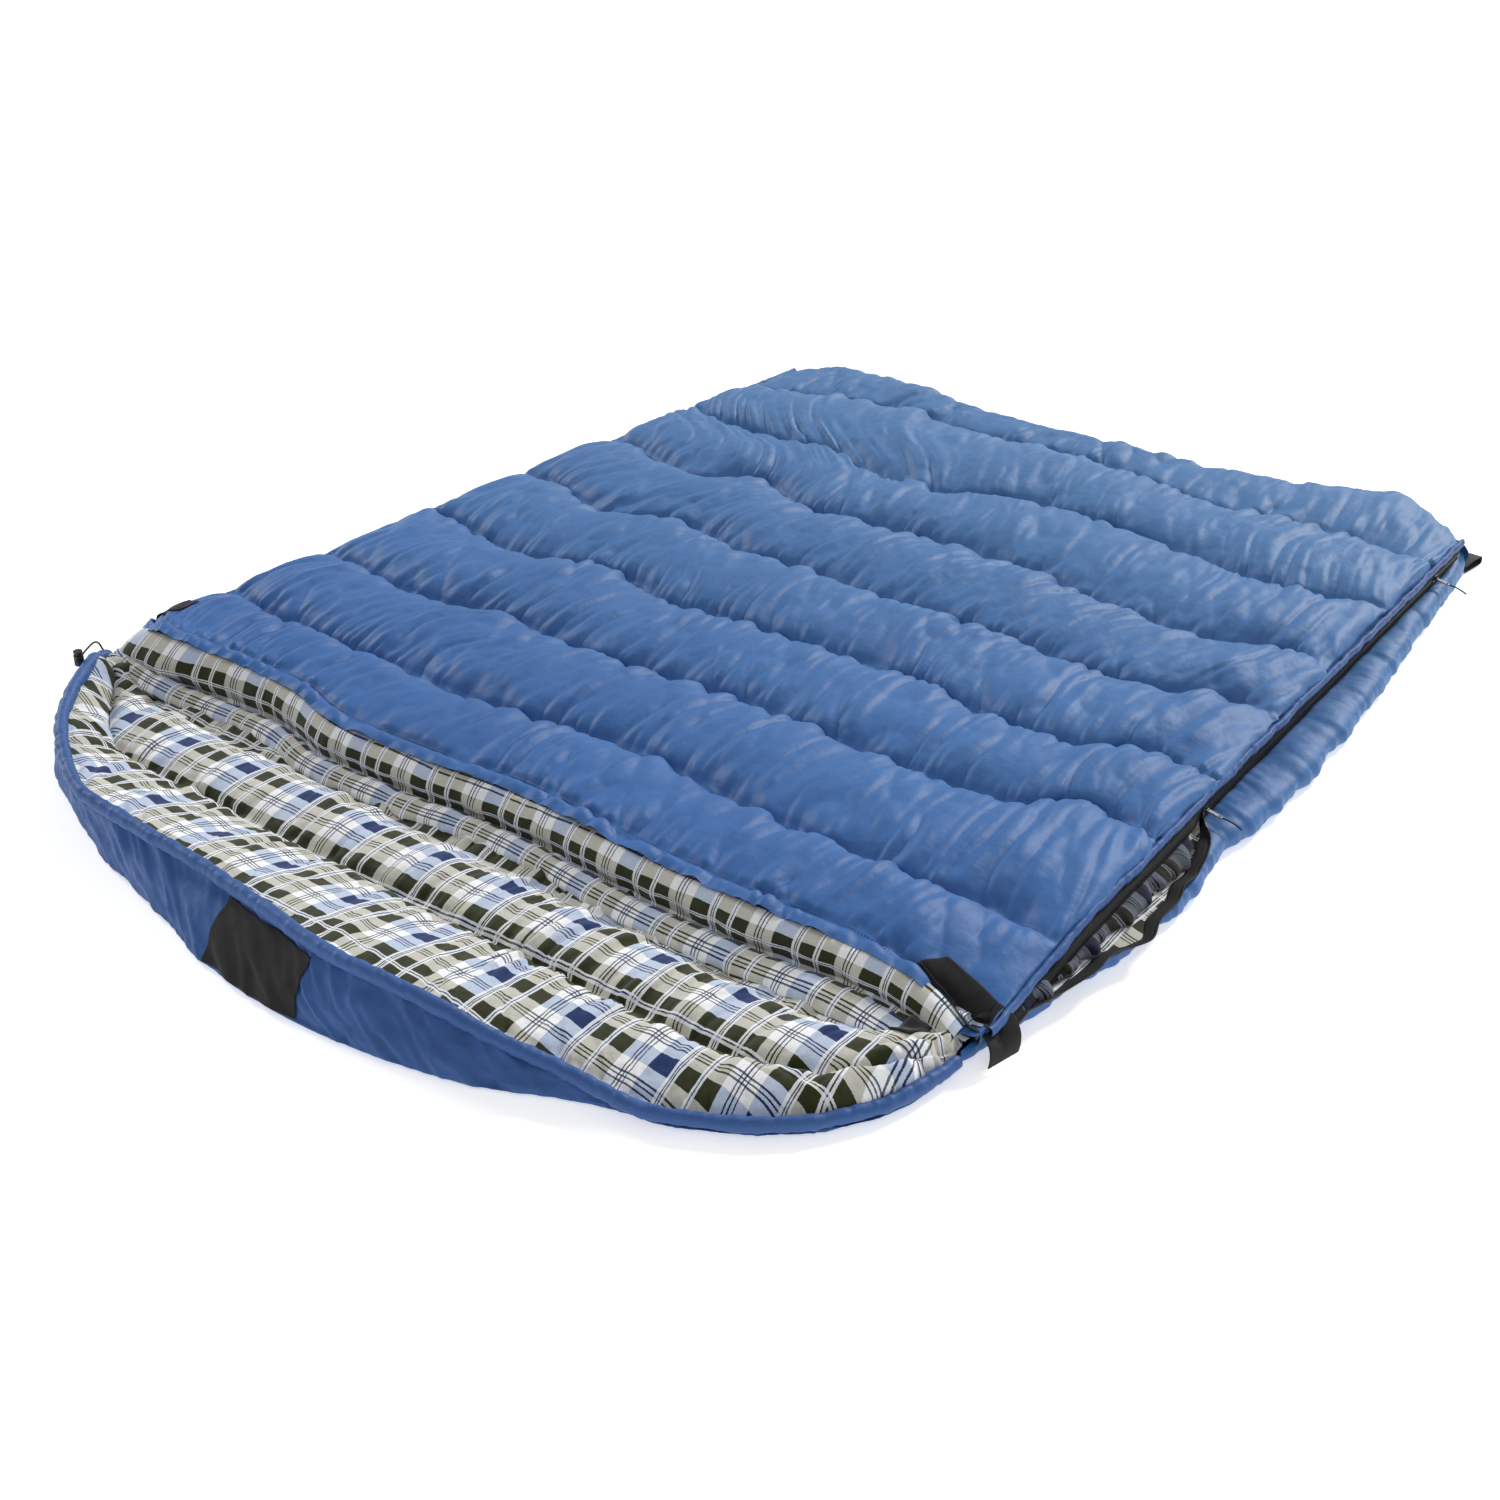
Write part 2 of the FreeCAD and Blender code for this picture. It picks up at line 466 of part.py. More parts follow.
# -------------------------------------------------------- foot webbing loops
for side, x0 in (("right", 716.0), ("left", -735.0)):
    outer = box(side + "_loop_outer", (x0, 1084.0, 3.0), (25.0, 76.0, 12.0), {"Length": "Dims.loop_wide"})
    hollow = box(side + "_loop_hole", (x0 - 1.0, 1100.0, 5.0), (27.0, 58.0, 8.0), {"Placement.Base.z": "3 + Dims.loop_thick", "Height": "12 - 2 * Dims.loop_thick"})
    loop = cut(side + "_loop_cut", outer, hollow)
    notch = box(side + "_loop_notch", (x0 - 1.0, 1083.0, 2.0), (27.0, 13.6, 14.0))
    keep(cut(side + "_loop_trim", loop, notch), side + "_foot_loop")

doc.recompute()

# ------------------------------------------------------------ checks and export
for o in doc.Objects:
    bad = [st for st in o.State if st in ("Invalid", "Error")]
    if bad:
        raise RuntimeError("%s (%s) is %s" % (o.Name, o.Label, bad))
for o in NODES:
    sh = o.Shape
    if sh.isNull() or not sh.isValid() or sh.Volume <= 0:
        raise RuntimeError(o.Label + ": bad shape")
print(len(NODES), "nodes")
lo = [1e9] * 3
hi = [-1e9] * 3
for o in NODES:
    b = o.Shape.BoundBox
    for i, (l, h) in enumerate(((b.XMin, b.XMax), (b.YMin, b.YMax), (b.ZMin, b.ZMax))):
        lo[i] = min(lo[i], l)
        hi[i] = max(hi[i], h)
    o.Shape.exportStep("parts/" + o.Label + ".step")
print("box", [round(v, 1) for v in lo], [round(v, 1) for v in hi])
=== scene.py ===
import bpy, bmesh, math
import numpy as np
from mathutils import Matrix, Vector


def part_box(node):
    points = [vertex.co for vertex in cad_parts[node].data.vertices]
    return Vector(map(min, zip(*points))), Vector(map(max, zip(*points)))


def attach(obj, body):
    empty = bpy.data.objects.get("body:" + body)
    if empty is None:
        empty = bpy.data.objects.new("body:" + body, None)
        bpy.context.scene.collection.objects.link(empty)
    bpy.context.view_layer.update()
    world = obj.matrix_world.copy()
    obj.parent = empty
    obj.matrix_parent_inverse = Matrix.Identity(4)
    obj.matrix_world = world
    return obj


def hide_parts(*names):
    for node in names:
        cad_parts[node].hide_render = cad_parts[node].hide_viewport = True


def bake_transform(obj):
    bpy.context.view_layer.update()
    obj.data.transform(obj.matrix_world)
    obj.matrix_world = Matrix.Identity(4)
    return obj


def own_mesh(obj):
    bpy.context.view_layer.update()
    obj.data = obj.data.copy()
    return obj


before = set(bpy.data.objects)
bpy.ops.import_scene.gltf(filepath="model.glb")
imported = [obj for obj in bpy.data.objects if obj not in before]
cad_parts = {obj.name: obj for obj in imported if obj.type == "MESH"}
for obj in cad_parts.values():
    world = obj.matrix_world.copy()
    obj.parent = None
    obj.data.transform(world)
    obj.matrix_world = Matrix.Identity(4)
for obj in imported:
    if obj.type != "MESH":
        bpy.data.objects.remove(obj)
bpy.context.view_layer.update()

# ===================================================================== helpers
def hash2(ix, iy, seed):
    n = (ix.astype(np.int64) * 374761393 + iy.astype(np.int64) * 668265263 + seed * 1442695041) & 0x7fffffff
    n = (n ^ (n >> 13)) * 1274126177 & 0x7fffffff
    return ((n ^ (n >> 16)) & 0xffff) / 65535.0


def noise2(x, y, seed=0):
    """Smooth value noise, -1..1."""
    x = np.asarray(x, float); y = np.asarray(y, float)
    ix, iy = np.floor(x), np.floor(y)
    fx, fy = x - ix, y - iy
    fx = fx * fx * fx * (fx * (fx * 6 - 15) + 10); fy = fy * fy * fy * (fy * (fy * 6 - 15) + 10)
    a = hash2(ix, iy, seed); b = hash2(ix + 1, iy, seed)
    c = hash2(ix, iy + 1, seed); d = hash2(ix + 1, iy + 1, seed)
    return ((a * (1 - fx) + b * fx) * (1 - fy) + (c * (1 - fx) + d * fx) * fy) * 2 - 1


def fbm(x, y, seed=0, octaves=3):
    s, a = 0.0, 1.0
    for o in range(octaves):
        s = s + a * noise2(np.asarray(x) * 2 ** o, np.asarray(y) * 2 ** o, seed + 17 * o)
        a *= 0.5
    return s


def sstep(a, b, x):
    t = np.clip((np.asarray(x, float) - a) / (b - a), 0, 1)
    return t * t * (3 - 2 * t)


def blur1(a, n):
    k = np.exp(-0.5 * (np.arange(-3 * n, 3 * n + 1) / float(n)) ** 2); k /= k.sum()
    p = np.pad(a, (3 * n, 3 * n), mode="edge")
    return np.convolve(p, k, "valid")


def along(points, n, share=None):
    """n points evenly spaced (or at the given shares) along a smooth curve through the points."""
    P = np.array(points, float)
    m = len(P)
    ext = np.vstack([2 * P[0] - P[1], P, 2 * P[-1] - P[-2]])
    out = []
    for i in range(m - 1):
        p0, p1, p2, p3 = ext[i], ext[i + 1], ext[i + 2], ext[i + 3]
        for t in np.linspace(0, 1, 24, endpoint=False):
            out.append(0.5 * ((2 * p1) + (-p0 + p2) * t + (2 * p0 - 5 * p1 + 4 * p2 - p3) * t ** 2 + (-p0 + 3 * p1 - 3 * p2 + p3) * t ** 3))
    out.append(P[-1])
    out = np.array(out)
    d = np.r_[0, np.cumsum(np.linalg.norm(np.diff(out, axis=0), axis=1))]
    s = (np.linspace(0, 1, n) if share is None else np.asarray(share)) * d[-1]
    return np.stack([np.interp(s, d, out[:, k]) for k in range(P.shape[1])], 1)


def grid_mesh(name, V, uv=None, closed_u=False, closed_v=False, flip=False, mat=None, smooth=True):
    """V is (nu, nv, 3)."""
    nu, nv = V.shape[:2]
    idx = np.arange(nu * nv).reshape(nu, nv)
    iu = np.arange(nu if closed_u else nu - 1); iv = np.arange(nv if closed_v else nv - 1)
    A, B = np.meshgrid(iu, iv, indexing="ij")
    a = idx[A, B]; b = idx[(A + 1) % nu, B]; c = idx[(A + 1) % nu, (B + 1) % nv]; d = idx[A, (B + 1) % nv]
    F = np.stack([a, b, c, d], -1).reshape(-1, 4)
    if flip:
        F = F[:, ::-1]
    me = bpy.data.meshes.new(name)
    me.from_pydata(V.reshape(-1, 3).tolist(), [], F.tolist())
    if uv is not None:
        layer = me.uv_layers.new(name="UVMap")
        U = uv.reshape(-1, 2)
        co = U[F.reshape(-1)]
        if closed_v:
            nvq = F.shape[0]
            last = (B.reshape(-1) == nv - 1)
            q = co.reshape(-1, 4, 2)
            step = uv[0, -1] - uv[0, -2] if nv > 1 else np.zeros(2)
            for k in range(4):
                v_id = F[:, k] % nv
                fix = last & (v_id == 0)
                q[fix, k] = U[(F[fix, k] - 0)] + (uv[0, -1] - uv[0, 0]) + step
            co = q.reshape(-1, 2)
        layer.data.foreach_set("uv", co.astype(np.float32).reshape(-1))
    me.update()
    o = bpy.data.objects.new(name, me)
    bpy.context.scene.collection.objects.link(o)
    if smooth:
        me.polygons.foreach_set("use_smooth", [True] * len(me.polygons))
    if mat:
        me.materials.append(mat)
    return o


def join_meshes(name, parts, mat=None):
    """parts: list of (verts (n,3), faces list)."""
    V, F, k = [], [], 0
    for v, f in parts:
        V.append(np.asarray(v, float)); F += [[i + k for i in face] for face in f]; k += len(v)
    me = bpy.data.meshes.new(name)
    me.from_pydata(np.vstack(V).tolist(), [], F)
    me.update()
    o = bpy.data.objects.new(name, me)
    bpy.context.scene.collection.objects.link(o)
    me.polygons.foreach_set("use_smooth", [True] * len(me.polygons))
    if mat:
        me.materials.append(mat)
    return o


def verts(o):
    a = np.empty(len(o.data.vertices) * 3, np.float32)
    o.data.vertices.foreach_get("co", a)
    return a.reshape(-1, 3).astype(float)


def set_verts(o, V):
    o.data.vertices.foreach_set("co", np.asarray(V, np.float32).reshape(-1))
    o.data.update()


def subdivide(o, levels=1):
    m = o.modifiers.new("sub", "SUBSURF"); m.levels = levels; m.render_levels = levels
    apply_mods(o)


def apply_mods(o):
    dg = bpy.context.evaluated_depsgraph_get()
    ev = o.evaluated_get(dg)
    me = bpy.data.meshes.new_from_object(ev, preserve_all_data_layers=True, depsgraph=dg)
    old = o.data
    o.modifiers.clear()
    o.data = me
    bpy.data.meshes.remove(old)


def solidify(o, t, offset=-1.0):
    m = o.modifiers.new("sol", "SOLIDIFY"); m.thickness = t; m.offset = offset
    apply_mods(o)


def frames(P):
    """Tangent, side and up vectors of a 3-D path (side is horizontal)."""
    T = np.gradient(P, axis=0); T /= np.linalg.norm(T, axis=1)[:, None]
    S = np.cross(T, [0, 0, 1.0]); S /= np.maximum(np.linalg.norm(S, axis=1)[:, None], 1e-9)
    U = np.cross(S, T)
    return T, S, U


def loft(name, P, section, mat, closed=True, uvscale=1.0, flip=False, caps=False):
    """Loft a section (m,2) in (side, up), or (n,m,2), along a path P (n,3)."""
    T, S, U = frames(P)
    sec = np.asarray(section, float)
    if sec.ndim == 2:
        sec = np.repeat(sec[None], len(P), 0)
    V = P[:, None] + S[:, None] * sec[..., :1] + U[:, None] * sec[..., 1:2]
    s = np.r_[0, np.cumsum(np.linalg.norm(np.diff(P, axis=0), axis=1))]
    q = sec[0]
    w = np.r_[0, np.cumsum(np.linalg.norm(np.diff(q, axis=0), axis=1))]
    uv = np.stack(np.broadcast_arrays(s[:, None], w[None, :]), -1) * uvscale
    o = grid_mesh(name, V, uv, closed_v=closed, flip=flip, mat=mat)
    if caps:
        bm = bmesh.new(); bm.from_mesh(o.data)
        bm.verts.ensure_lookup_table()
        m = sec.shape[1]
        n = len(P)
        try:
            bm.faces.new([bm.verts[i] for i in range(m)][::1 if not flip else -1])
            bm.faces.new([bm.verts[(n - 1) * m + i] for i in range(m)][::-1 if not flip else 1])
        except ValueError:
            pass
        bm.normal_update()
        bm.to_mesh(o.data); bm.free()
    return o


def ellipse(a, b, n=16, power=2.0, rot=0.0):
    t = np.linspace(0, 2 * np.pi, n, endpoint=False)
    x = a * np.sign(np.cos(t)) * np.abs(np.cos(t)) ** (2 / power)
    y = b * np.sign(np.sin(t)) * np.abs(np.sin(t)) ** (2 / power)
    c, s = math.cos(rot), math.sin(rot)
    return np.stack([x * c - y * s, x * s + y * c], 1)


# ================================================================== materials
def new_mat(name):
    m = bpy.data.materials.new(name); m.use_nodes = True
    nt = m.node_tree
    for n in list(nt.nodes):
        nt.nodes.remove(n)
    out = nt.nodes.new("ShaderNodeOutputMaterial")
    p = nt.nodes.new("ShaderNodeBsdfPrincipled")
    nt.links.new(p.outputs[0], out.inputs[0])
    return m, nt, p


def N(nt, kind, **kw):
    n = nt.nodes.new(kind)
    for k, v in kw.items():
        setattr(n, k, v)
    return n


def math_node(nt, op, a, b=None, c=None, clamp=False):
    n = nt.nodes.new("ShaderNodeMath"); n.operation = op; n.use_clamp = clamp
    for i, v in enumerate((a, b, c)):
        if v is None:
            continue
        if isinstance(v, (int, float)):
            n.inputs[i].default_value = v
        else:
            nt.links.new(v, n.inputs[i])
    return n.outputs[0]


def mix_col(nt, fac, a, b, blend="MIX"):
    n = nt.nodes.new("ShaderNodeMix"); n.data_type = "RGBA"; n.blend_type = blend
    if isinstance(fac, (int, float)):
        n.inputs[0].default_value = fac
    else:
        nt.links.new(fac, n.inputs[0])
    for i, v in ((6, a), (7, b)):
        if isinstance(v, tuple):
            n.inputs[i].default_value = (*v, 1.0) if len(v) == 3 else v
        else:
            nt.links.new(v, n.inputs[i])
    return n.outputs[2]


def srgb(r, g, b):
    f = lambda c: (c / 255.0 / 12.92) if c / 255.0 <= 0.04045 else ((c / 255.0 + 0.055) / 1.055) ** 2.4
    return (f(r), f(g), f(b))


def bump(nt, p, height, strength, distance, prev=None):
    b = nt.nodes.new("ShaderNodeBump")
    b.inputs["Strength"].default_value = strength
    b.inputs["Distance"].default_value = distance
    nt.links.new(height, b.inputs["Height"])
    if prev is not None:
        nt.links.new(prev, b.inputs["Normal"])
    nt.links.new(b.outputs[0], p.inputs["Normal"])
    return b.outputs[0]


def weave_height(nt, scale):
    """Plain weave from object coordinates: two crossed sets of threads."""
    tc = N(nt, "ShaderNodeTexCoord")
    mp = N(nt, "ShaderNodeMapping")
    nt.links.new(tc.outputs["Object"], mp.inputs["Vector"])
    w1 = N(nt, "ShaderNodeTexWave", wave_type="BANDS", bands_direction="X", wave_profile="SIN")
    w2 = N(nt, "ShaderNodeTexWave", wave_type="BANDS", bands_direction="Y", wave_profile="SIN")
    for w in (w1, w2):
        w.inputs["Scale"].default_value = scale
        w.inputs["Distortion"].default_value = 0.25
        w.inputs["Detail"].default_value = 1.0
        nt.links.new(mp.outputs[0], w.inputs["Vector"])
    h = math_node(nt, "MULTIPLY", w1.outputs["Fac"], w2.outputs["Fac"])
    return h, tc


def shell_material(name, col, light, foot=None, rough=0.56):
    """Blue woven polyester: fine weave, soft sheen, slight tone changes; paler towards the foot, where a painted sheen
    of the back light is blended in.
    """
    m, nt, p = new_mat(name)
    h, tc = weave_height(nt, 330.0)
    n1 = N(nt, "ShaderNodeTexNoise"); n1.inputs["Scale"].default_value = 3.2; n1.inputs["Detail"].default_value = 3.0
    nt.links.new(tc.outputs["Object"], n1.inputs["Vector"])
    n2 = N(nt, "ShaderNodeTexNoise"); n2.inputs["Scale"].default_value = 42.0; n2.inputs["Detail"].default_value = 4.0
    nt.links.new(tc.outputs["Object"], n2.inputs["Vector"])
    f1 = math_node(nt, "MULTIPLY_ADD", n1.outputs["Fac"], 1.6, -0.3, clamp=True)
    c = mix_col(nt, f1, col, light)
    if foot is not None:
        # blend to the foot colour along y: painted sheen of the back light, paler towards the foot
        sx = N(nt, "ShaderNodeSeparateXYZ"); nt.links.new(tc.outputs["Object"], sx.inputs[0])
        f = math_node(nt, "MULTIPLY_ADD", sx.outputs["Y"], 0.62, 0.42, clamp=True)
        c = mix_col(nt, f, c, foot)
    f2 = math_node(nt, "MULTIPLY_ADD", n2.outputs["Fac"], 0.30, 0.85)
    mul = N(nt, "ShaderNodeVectorMath", operation="SCALE")
    nt.links.new(c, mul.inputs[0]); nt.links.new(f2, mul.inputs["Scale"])
    wv = math_node(nt, "MULTIPLY_ADD", h, 0.20, 0.92)
    mul2 = N(nt, "ShaderNodeVectorMath", operation="SCALE")
    nt.links.new(mul.outputs[0], mul2.inputs[0]); nt.links.new(wv, mul2.inputs["Scale"])
    nt.links.new(mul2.outputs[0], p.inputs["Base Color"])
    p.inputs["Roughness"].default_value = rough
    p.inputs["Specular IOR Level"].default_value = 0.42
    p.inputs["Sheen Weight"].default_value = 0.12
    p.inputs["Sheen Roughness"].default_value = 0.4
    p.inputs["Sheen Tint"].default_value = (0.55, 0.72, 1.0, 1.0)
    b1 = bump(nt, p, h, 0.18, 0.0003)
    n3 = N(nt, "ShaderNodeTexNoise"); n3.inputs["Scale"].default_value = 28.0; n3.inputs["Detail"].default_value = 5.0
    n3.inputs["Roughness"].default_value = 0.55
    nt.links.new(tc.outputs["Object"], n3.inputs["Vector"])
    bump(nt, p, n3.outputs["Fac"], 0.55, 0.004, b1)
    return m


# stripe kinds: w white, o olive, n navy, k thin dark line; widths in millimetres
WARP = [("n", 29), ("s", 4.4), ("k", 1.5), ("s", 1.6), ("k", 1.5), ("s", 3.0), ("o", 22), ("s", 3.2), ("k", 1.8), ("s", 3.2), ("o", 23),
        ("w", 13), ("k", 2), ("w", 3.4), ("k", 2), ("w", 3.4), ("k", 2), ("w", 14.2)]
WEFT = [("n", 27), ("w", 13), ("k", 2.2), ("w", 3.4), ("k", 2.2), ("w", 3.4), ("k", 2.2), ("w", 14), ("o", 21), ("s", 3.2), ("k", 1.8), ("s", 3.2), ("o", 21),
        ("w", 17), ("k", 2.2), ("w", 3.4), ("k", 2.2), ("w", 3.4), ("k", 2.2), ("w", 18)]
TINT = {"w": (1.0, 1.0, 1.0), "s": (1.0, 1.0, 1.0), "o": (0.63, 0.615, 0.535), "n": (0.56, 0.64, 0.79), "k": (0.13, 0.15, 0.19)}
# red: olive, green: bright thin stripe, alpha: deep
DEEP = {"w": (0.0, 0.0, 0.0, 0.0), "s": (0.0, 1.0, 0.0, 0.0), "o": (1.0, 0.0, 0.0, 1.0), "n": (0.0, 0.0, 0.0, 1.0), "k": (0.2, 0.0, 0.0, 0.95)}


def stripe_ramp(nt, f, seq, table, total):
    r = nt.nodes.new("ShaderNodeValToRGB")
    r.color_ramp.interpolation = "CONSTANT"
    el = r.color_ramp.elements
    pos = 0.0
    for i, (c, w) in enumerate(seq):
        if i < 2:
            e = el[i]; e.position = pos
        else:
            e = el.new(pos)
        q = table[c]
        e.color = q if len(q) == 4 else (*q, 1.0)
        pos += w / 1000.0 / total
    nt.links.new(f, r.inputs[0])
    return r


def stripes(nt, coord, seq):
    """Stripes along a coordinate in metres: tint over white, deep colour, and where it is deep."""
    total = sum(w for _, w in seq) / 1000.0
    f = math_node(nt, "FRACT", math_node(nt, "ADD", math_node(nt, "DIVIDE", coord, total), 100.0))
    a = stripe_ramp(nt, f, seq, TINT, total); b = stripe_ramp(nt, f, seq, DEEP, total)
    return a.outputs[0], b.outputs[0], b.outputs[1]


def plaid_material(name="lining_plaid", dim=1.0):
    m, nt, p = new_mat(name)
    uvn = N(nt, "ShaderNodeUVMap"); uvn.uv_map = "UVMap"
    sx = N(nt, "ShaderNodeSeparateXYZ"); nt.links.new(uvn.outputs[0], sx.inputs[0])
    # the printed edges wander a little, as brushed yarn does
    nz = N(nt, "ShaderNodeTexNoise"); nz.inputs["Scale"].default_value = 700.0; nz.inputs["Detail"].default_value = 1.0
    nt.links.new(uvn.outputs[0], nz.inputs["Vector"])
    jit = math_node(nt, "MULTIPLY_ADD", nz.outputs["Fac"], 0.0014, -0.0007)
    x = math_node(nt, "ADD", sx.outputs["X"], jit)
    y = math_node(nt, "ADD", sx.outputs["Y"], jit)
    ta, da, ma = stripes(nt, x, WARP)
    tb, db_, mb = stripes(nt, y, WEFT)
    base = mix_col(nt, 1.0, ta, tb, "MULTIPLY")
    white = mix_col(nt, 1.0, base, srgb(240, 241, 243), "MULTIPLY")
    sa = N(nt, "ShaderNodeSeparateColor"); nt.links.new(da, sa.inputs[0])
    sb = N(nt, "ShaderNodeSeparateColor"); nt.links.new(db_, sb.inputs[0])
    olive = math_node(nt, "MAXIMUM", sa.outputs[0], sb.outputs[0])
    thin = math_node(nt, "MAXIMUM", sa.outputs[1], sb.outputs[1])
    deep = mix_col(nt, olive, srgb(20, 46, 96), srgb(46, 50, 24))
    both = math_node(nt, "MULTIPLY", ma, mb)
    # twill: on the crossings either set of yarns comes up along diagonals
    dsum = math_node(nt, "MULTIPLY", math_node(nt, "ADD", sx.outputs["X"], sx.outputs["Y"]), 420.0)
    tw = math_node(nt, "SINE", math_node(nt, "MULTIPLY", dsum, 2 * math.pi))
    c = mix_col(nt, both, white, deep)
    c = mix_col(nt, math_node(nt, "MULTIPLY", thin, 0.72), c, srgb(228, 231, 236))
    fz = N(nt, "ShaderNodeTexNoise"); fz.inputs["Scale"].default_value = 260.0; fz.inputs["Detail"].default_value = 4.0
    nt.links.new(uvn.outputs[0], fz.inputs["Vector"])
    # dim darkens the whole plaid evenly; a value below 1 paints shade onto it
    t1 = math_node(nt, "MULTIPLY_ADD", fz.outputs["Fac"], 0.30 * dim, 0.80 * dim)
    tone = math_node(nt, "MULTIPLY_ADD", tw, 0.06 * dim, t1)
    sc = N(nt, "ShaderNodeVectorMath", operation="SCALE")
    nt.links.new(c, sc.inputs[0]); nt.links.new(tone, sc.inputs["Scale"])
    nt.links.new(sc.outputs[0], p.inputs["Base Color"])
    p.inputs["Roughness"].default_value = 0.92
    p.inputs["Specular IOR Level"].default_value = 0.15
    p.inputs["Sheen Weight"].default_value = 0.12
    p.inputs["Sheen Roughness"].default_value = 0.6
    b = bump(nt, p, tw, 0.10, 0.0004)
    n3 = N(nt, "ShaderNodeTexNoise"); n3.inputs["Scale"].default_value = 55.0; n3.inputs["Detail"].default_value = 5.0
    nt.links.new(uvn.outputs[0], n3.inputs["Vector"])
    bump(nt, p, n3.outputs["Fac"], 0.5, 0.0030, b)
    return m


def dark_cloth(name, col, light, scale=600.0, rough=0.75, sheen=0.1, ribs=None):
    m, nt, p = new_mat(name)
    h, tc = weave_height(nt, scale)
    n1 = N(nt, "ShaderNodeTexNoise"); n1.inputs["Scale"].default_value = 60.0; n1.inputs["Detail"].default_value = 4.0
    nt.links.new(tc.outputs["Object"], n1.inputs["Vector"])
    f = math_node(nt, "MULTIPLY", n1.outputs["Fac"], h)
    c = mix_col(nt, f, col, light)
    nt.links.new(c, p.inputs["Base Color"])
    p.inputs["Roughness"].default_value = rough
    p.inputs["Specular IOR Level"].default_value = 0.3
    p.inputs["Sheen Weight"].default_value = sheen
    bump(nt, p, h, 0.5, 0.0004)
    return m


def plastic(name, col, rough=0.4, metallic=0.0):
    m, nt, p = new_mat(name)
    tc = N(nt, "ShaderNodeTexCoord")
    n1 = N(nt, "ShaderNodeTexNoise"); n1.inputs["Scale"].default_value = 700.0; n1.inputs["Detail"].default_value = 3.0
    nt.links.new(tc.outputs["Object"], n1.inputs["Vector"])
    c = mix_col(nt, n1.outputs["Fac"], tuple(v * 0.75 for v in col), tuple(min(v * 1.5 + 0.004, 1) for v in col))
    nt.links.new(c, p.inputs["Base Color"])
    r = math_node(nt, "MULTIPLY_ADD", n1.outputs["Fac"], 0.2, rough - 0.1)
    nt.links.new(r, p.inputs["Roughness"])
    p.inputs["Metallic"].default_value = metallic
    bump(nt, p, n1.outputs["Fac"], 0.25, 0.0002)
    return m


# the foot colour is a painted sheen, paler blue at the foot end
M_SHELL = shell_material("shell_cloth", srgb(34, 84, 148), srgb(46, 100, 166), foot=srgb(70, 116, 168))
# the shell cloth again, darker: painted shade on the side-facing hood wall, rim, piping and the undersides
M_SHELL_SHADED = shell_material("shell_cloth_painted_shade", srgb(36, 76, 136), srgb(48, 90, 152))
M_PLAID = plaid_material()
# the lining plaid again, dimmed: painted shade for the right draft tube inside the open zip
M_PLAID_SHADED = plaid_material("lining_plaid_painted_shade", 0.22)
M_TAPE = dark_cloth("zip_tape_cloth", (0.006, 0.006, 0.007), (0.020, 0.020, 0.022), 900.0, 0.75, 0.03)
M_LABEL = dark_cloth("label_cloth", (0.007, 0.006, 0.006), (0.022, 0.019, 0.019), 700.0, 0.7, 0.03)
M_HOOK = dark_cloth("hook_pile", (0.006, 0.006, 0.006), (0.022, 0.022, 0.023), 420.0, 0.95, 0.3)
M_WEB = dark_cloth("webbing_cloth", (0.010, 0.010, 0.012), (0.035, 0.035, 0.038), 380.0, 0.65)
M_CORD = dark_cloth("cord_braid", (0.008, 0.008, 0.009), (0.030, 0.030, 0.033), 500.0, 0.6)
M_COIL = plastic("coil_plastic", (0.012, 0.012, 0.013), 0.35)
M_METAL = plastic("slider_enamel", (0.030, 0.030, 0.032), 0.30, 0.6)
M_LOCK = plastic("lock_plastic", (0.010, 0.010, 0.010), 0.42)
M_STEEL = plastic("spring_steel", (0.55, 0.55, 0.56), 0.3, 1.0)
M_THREAD = dark_cloth("stitch_thread", srgb(14, 34, 78), srgb(24, 52, 104), 800.0, 0.7)
M_FILL = dark_cloth("batting", (0.75, 0.75, 0.73), (0.9, 0.9, 0.88), 200.0, 0.95)

# ============================================================ plan of the bag
def zr(y):                                  # zip line on the right
    return 0.826 - 0.05212 * (np.asarray(y, float) + 0.690)


def zl(y):                                  # zip line on the left
    return -0.850 + 0.06039 * (np.asarray(y, float) + 0.600)


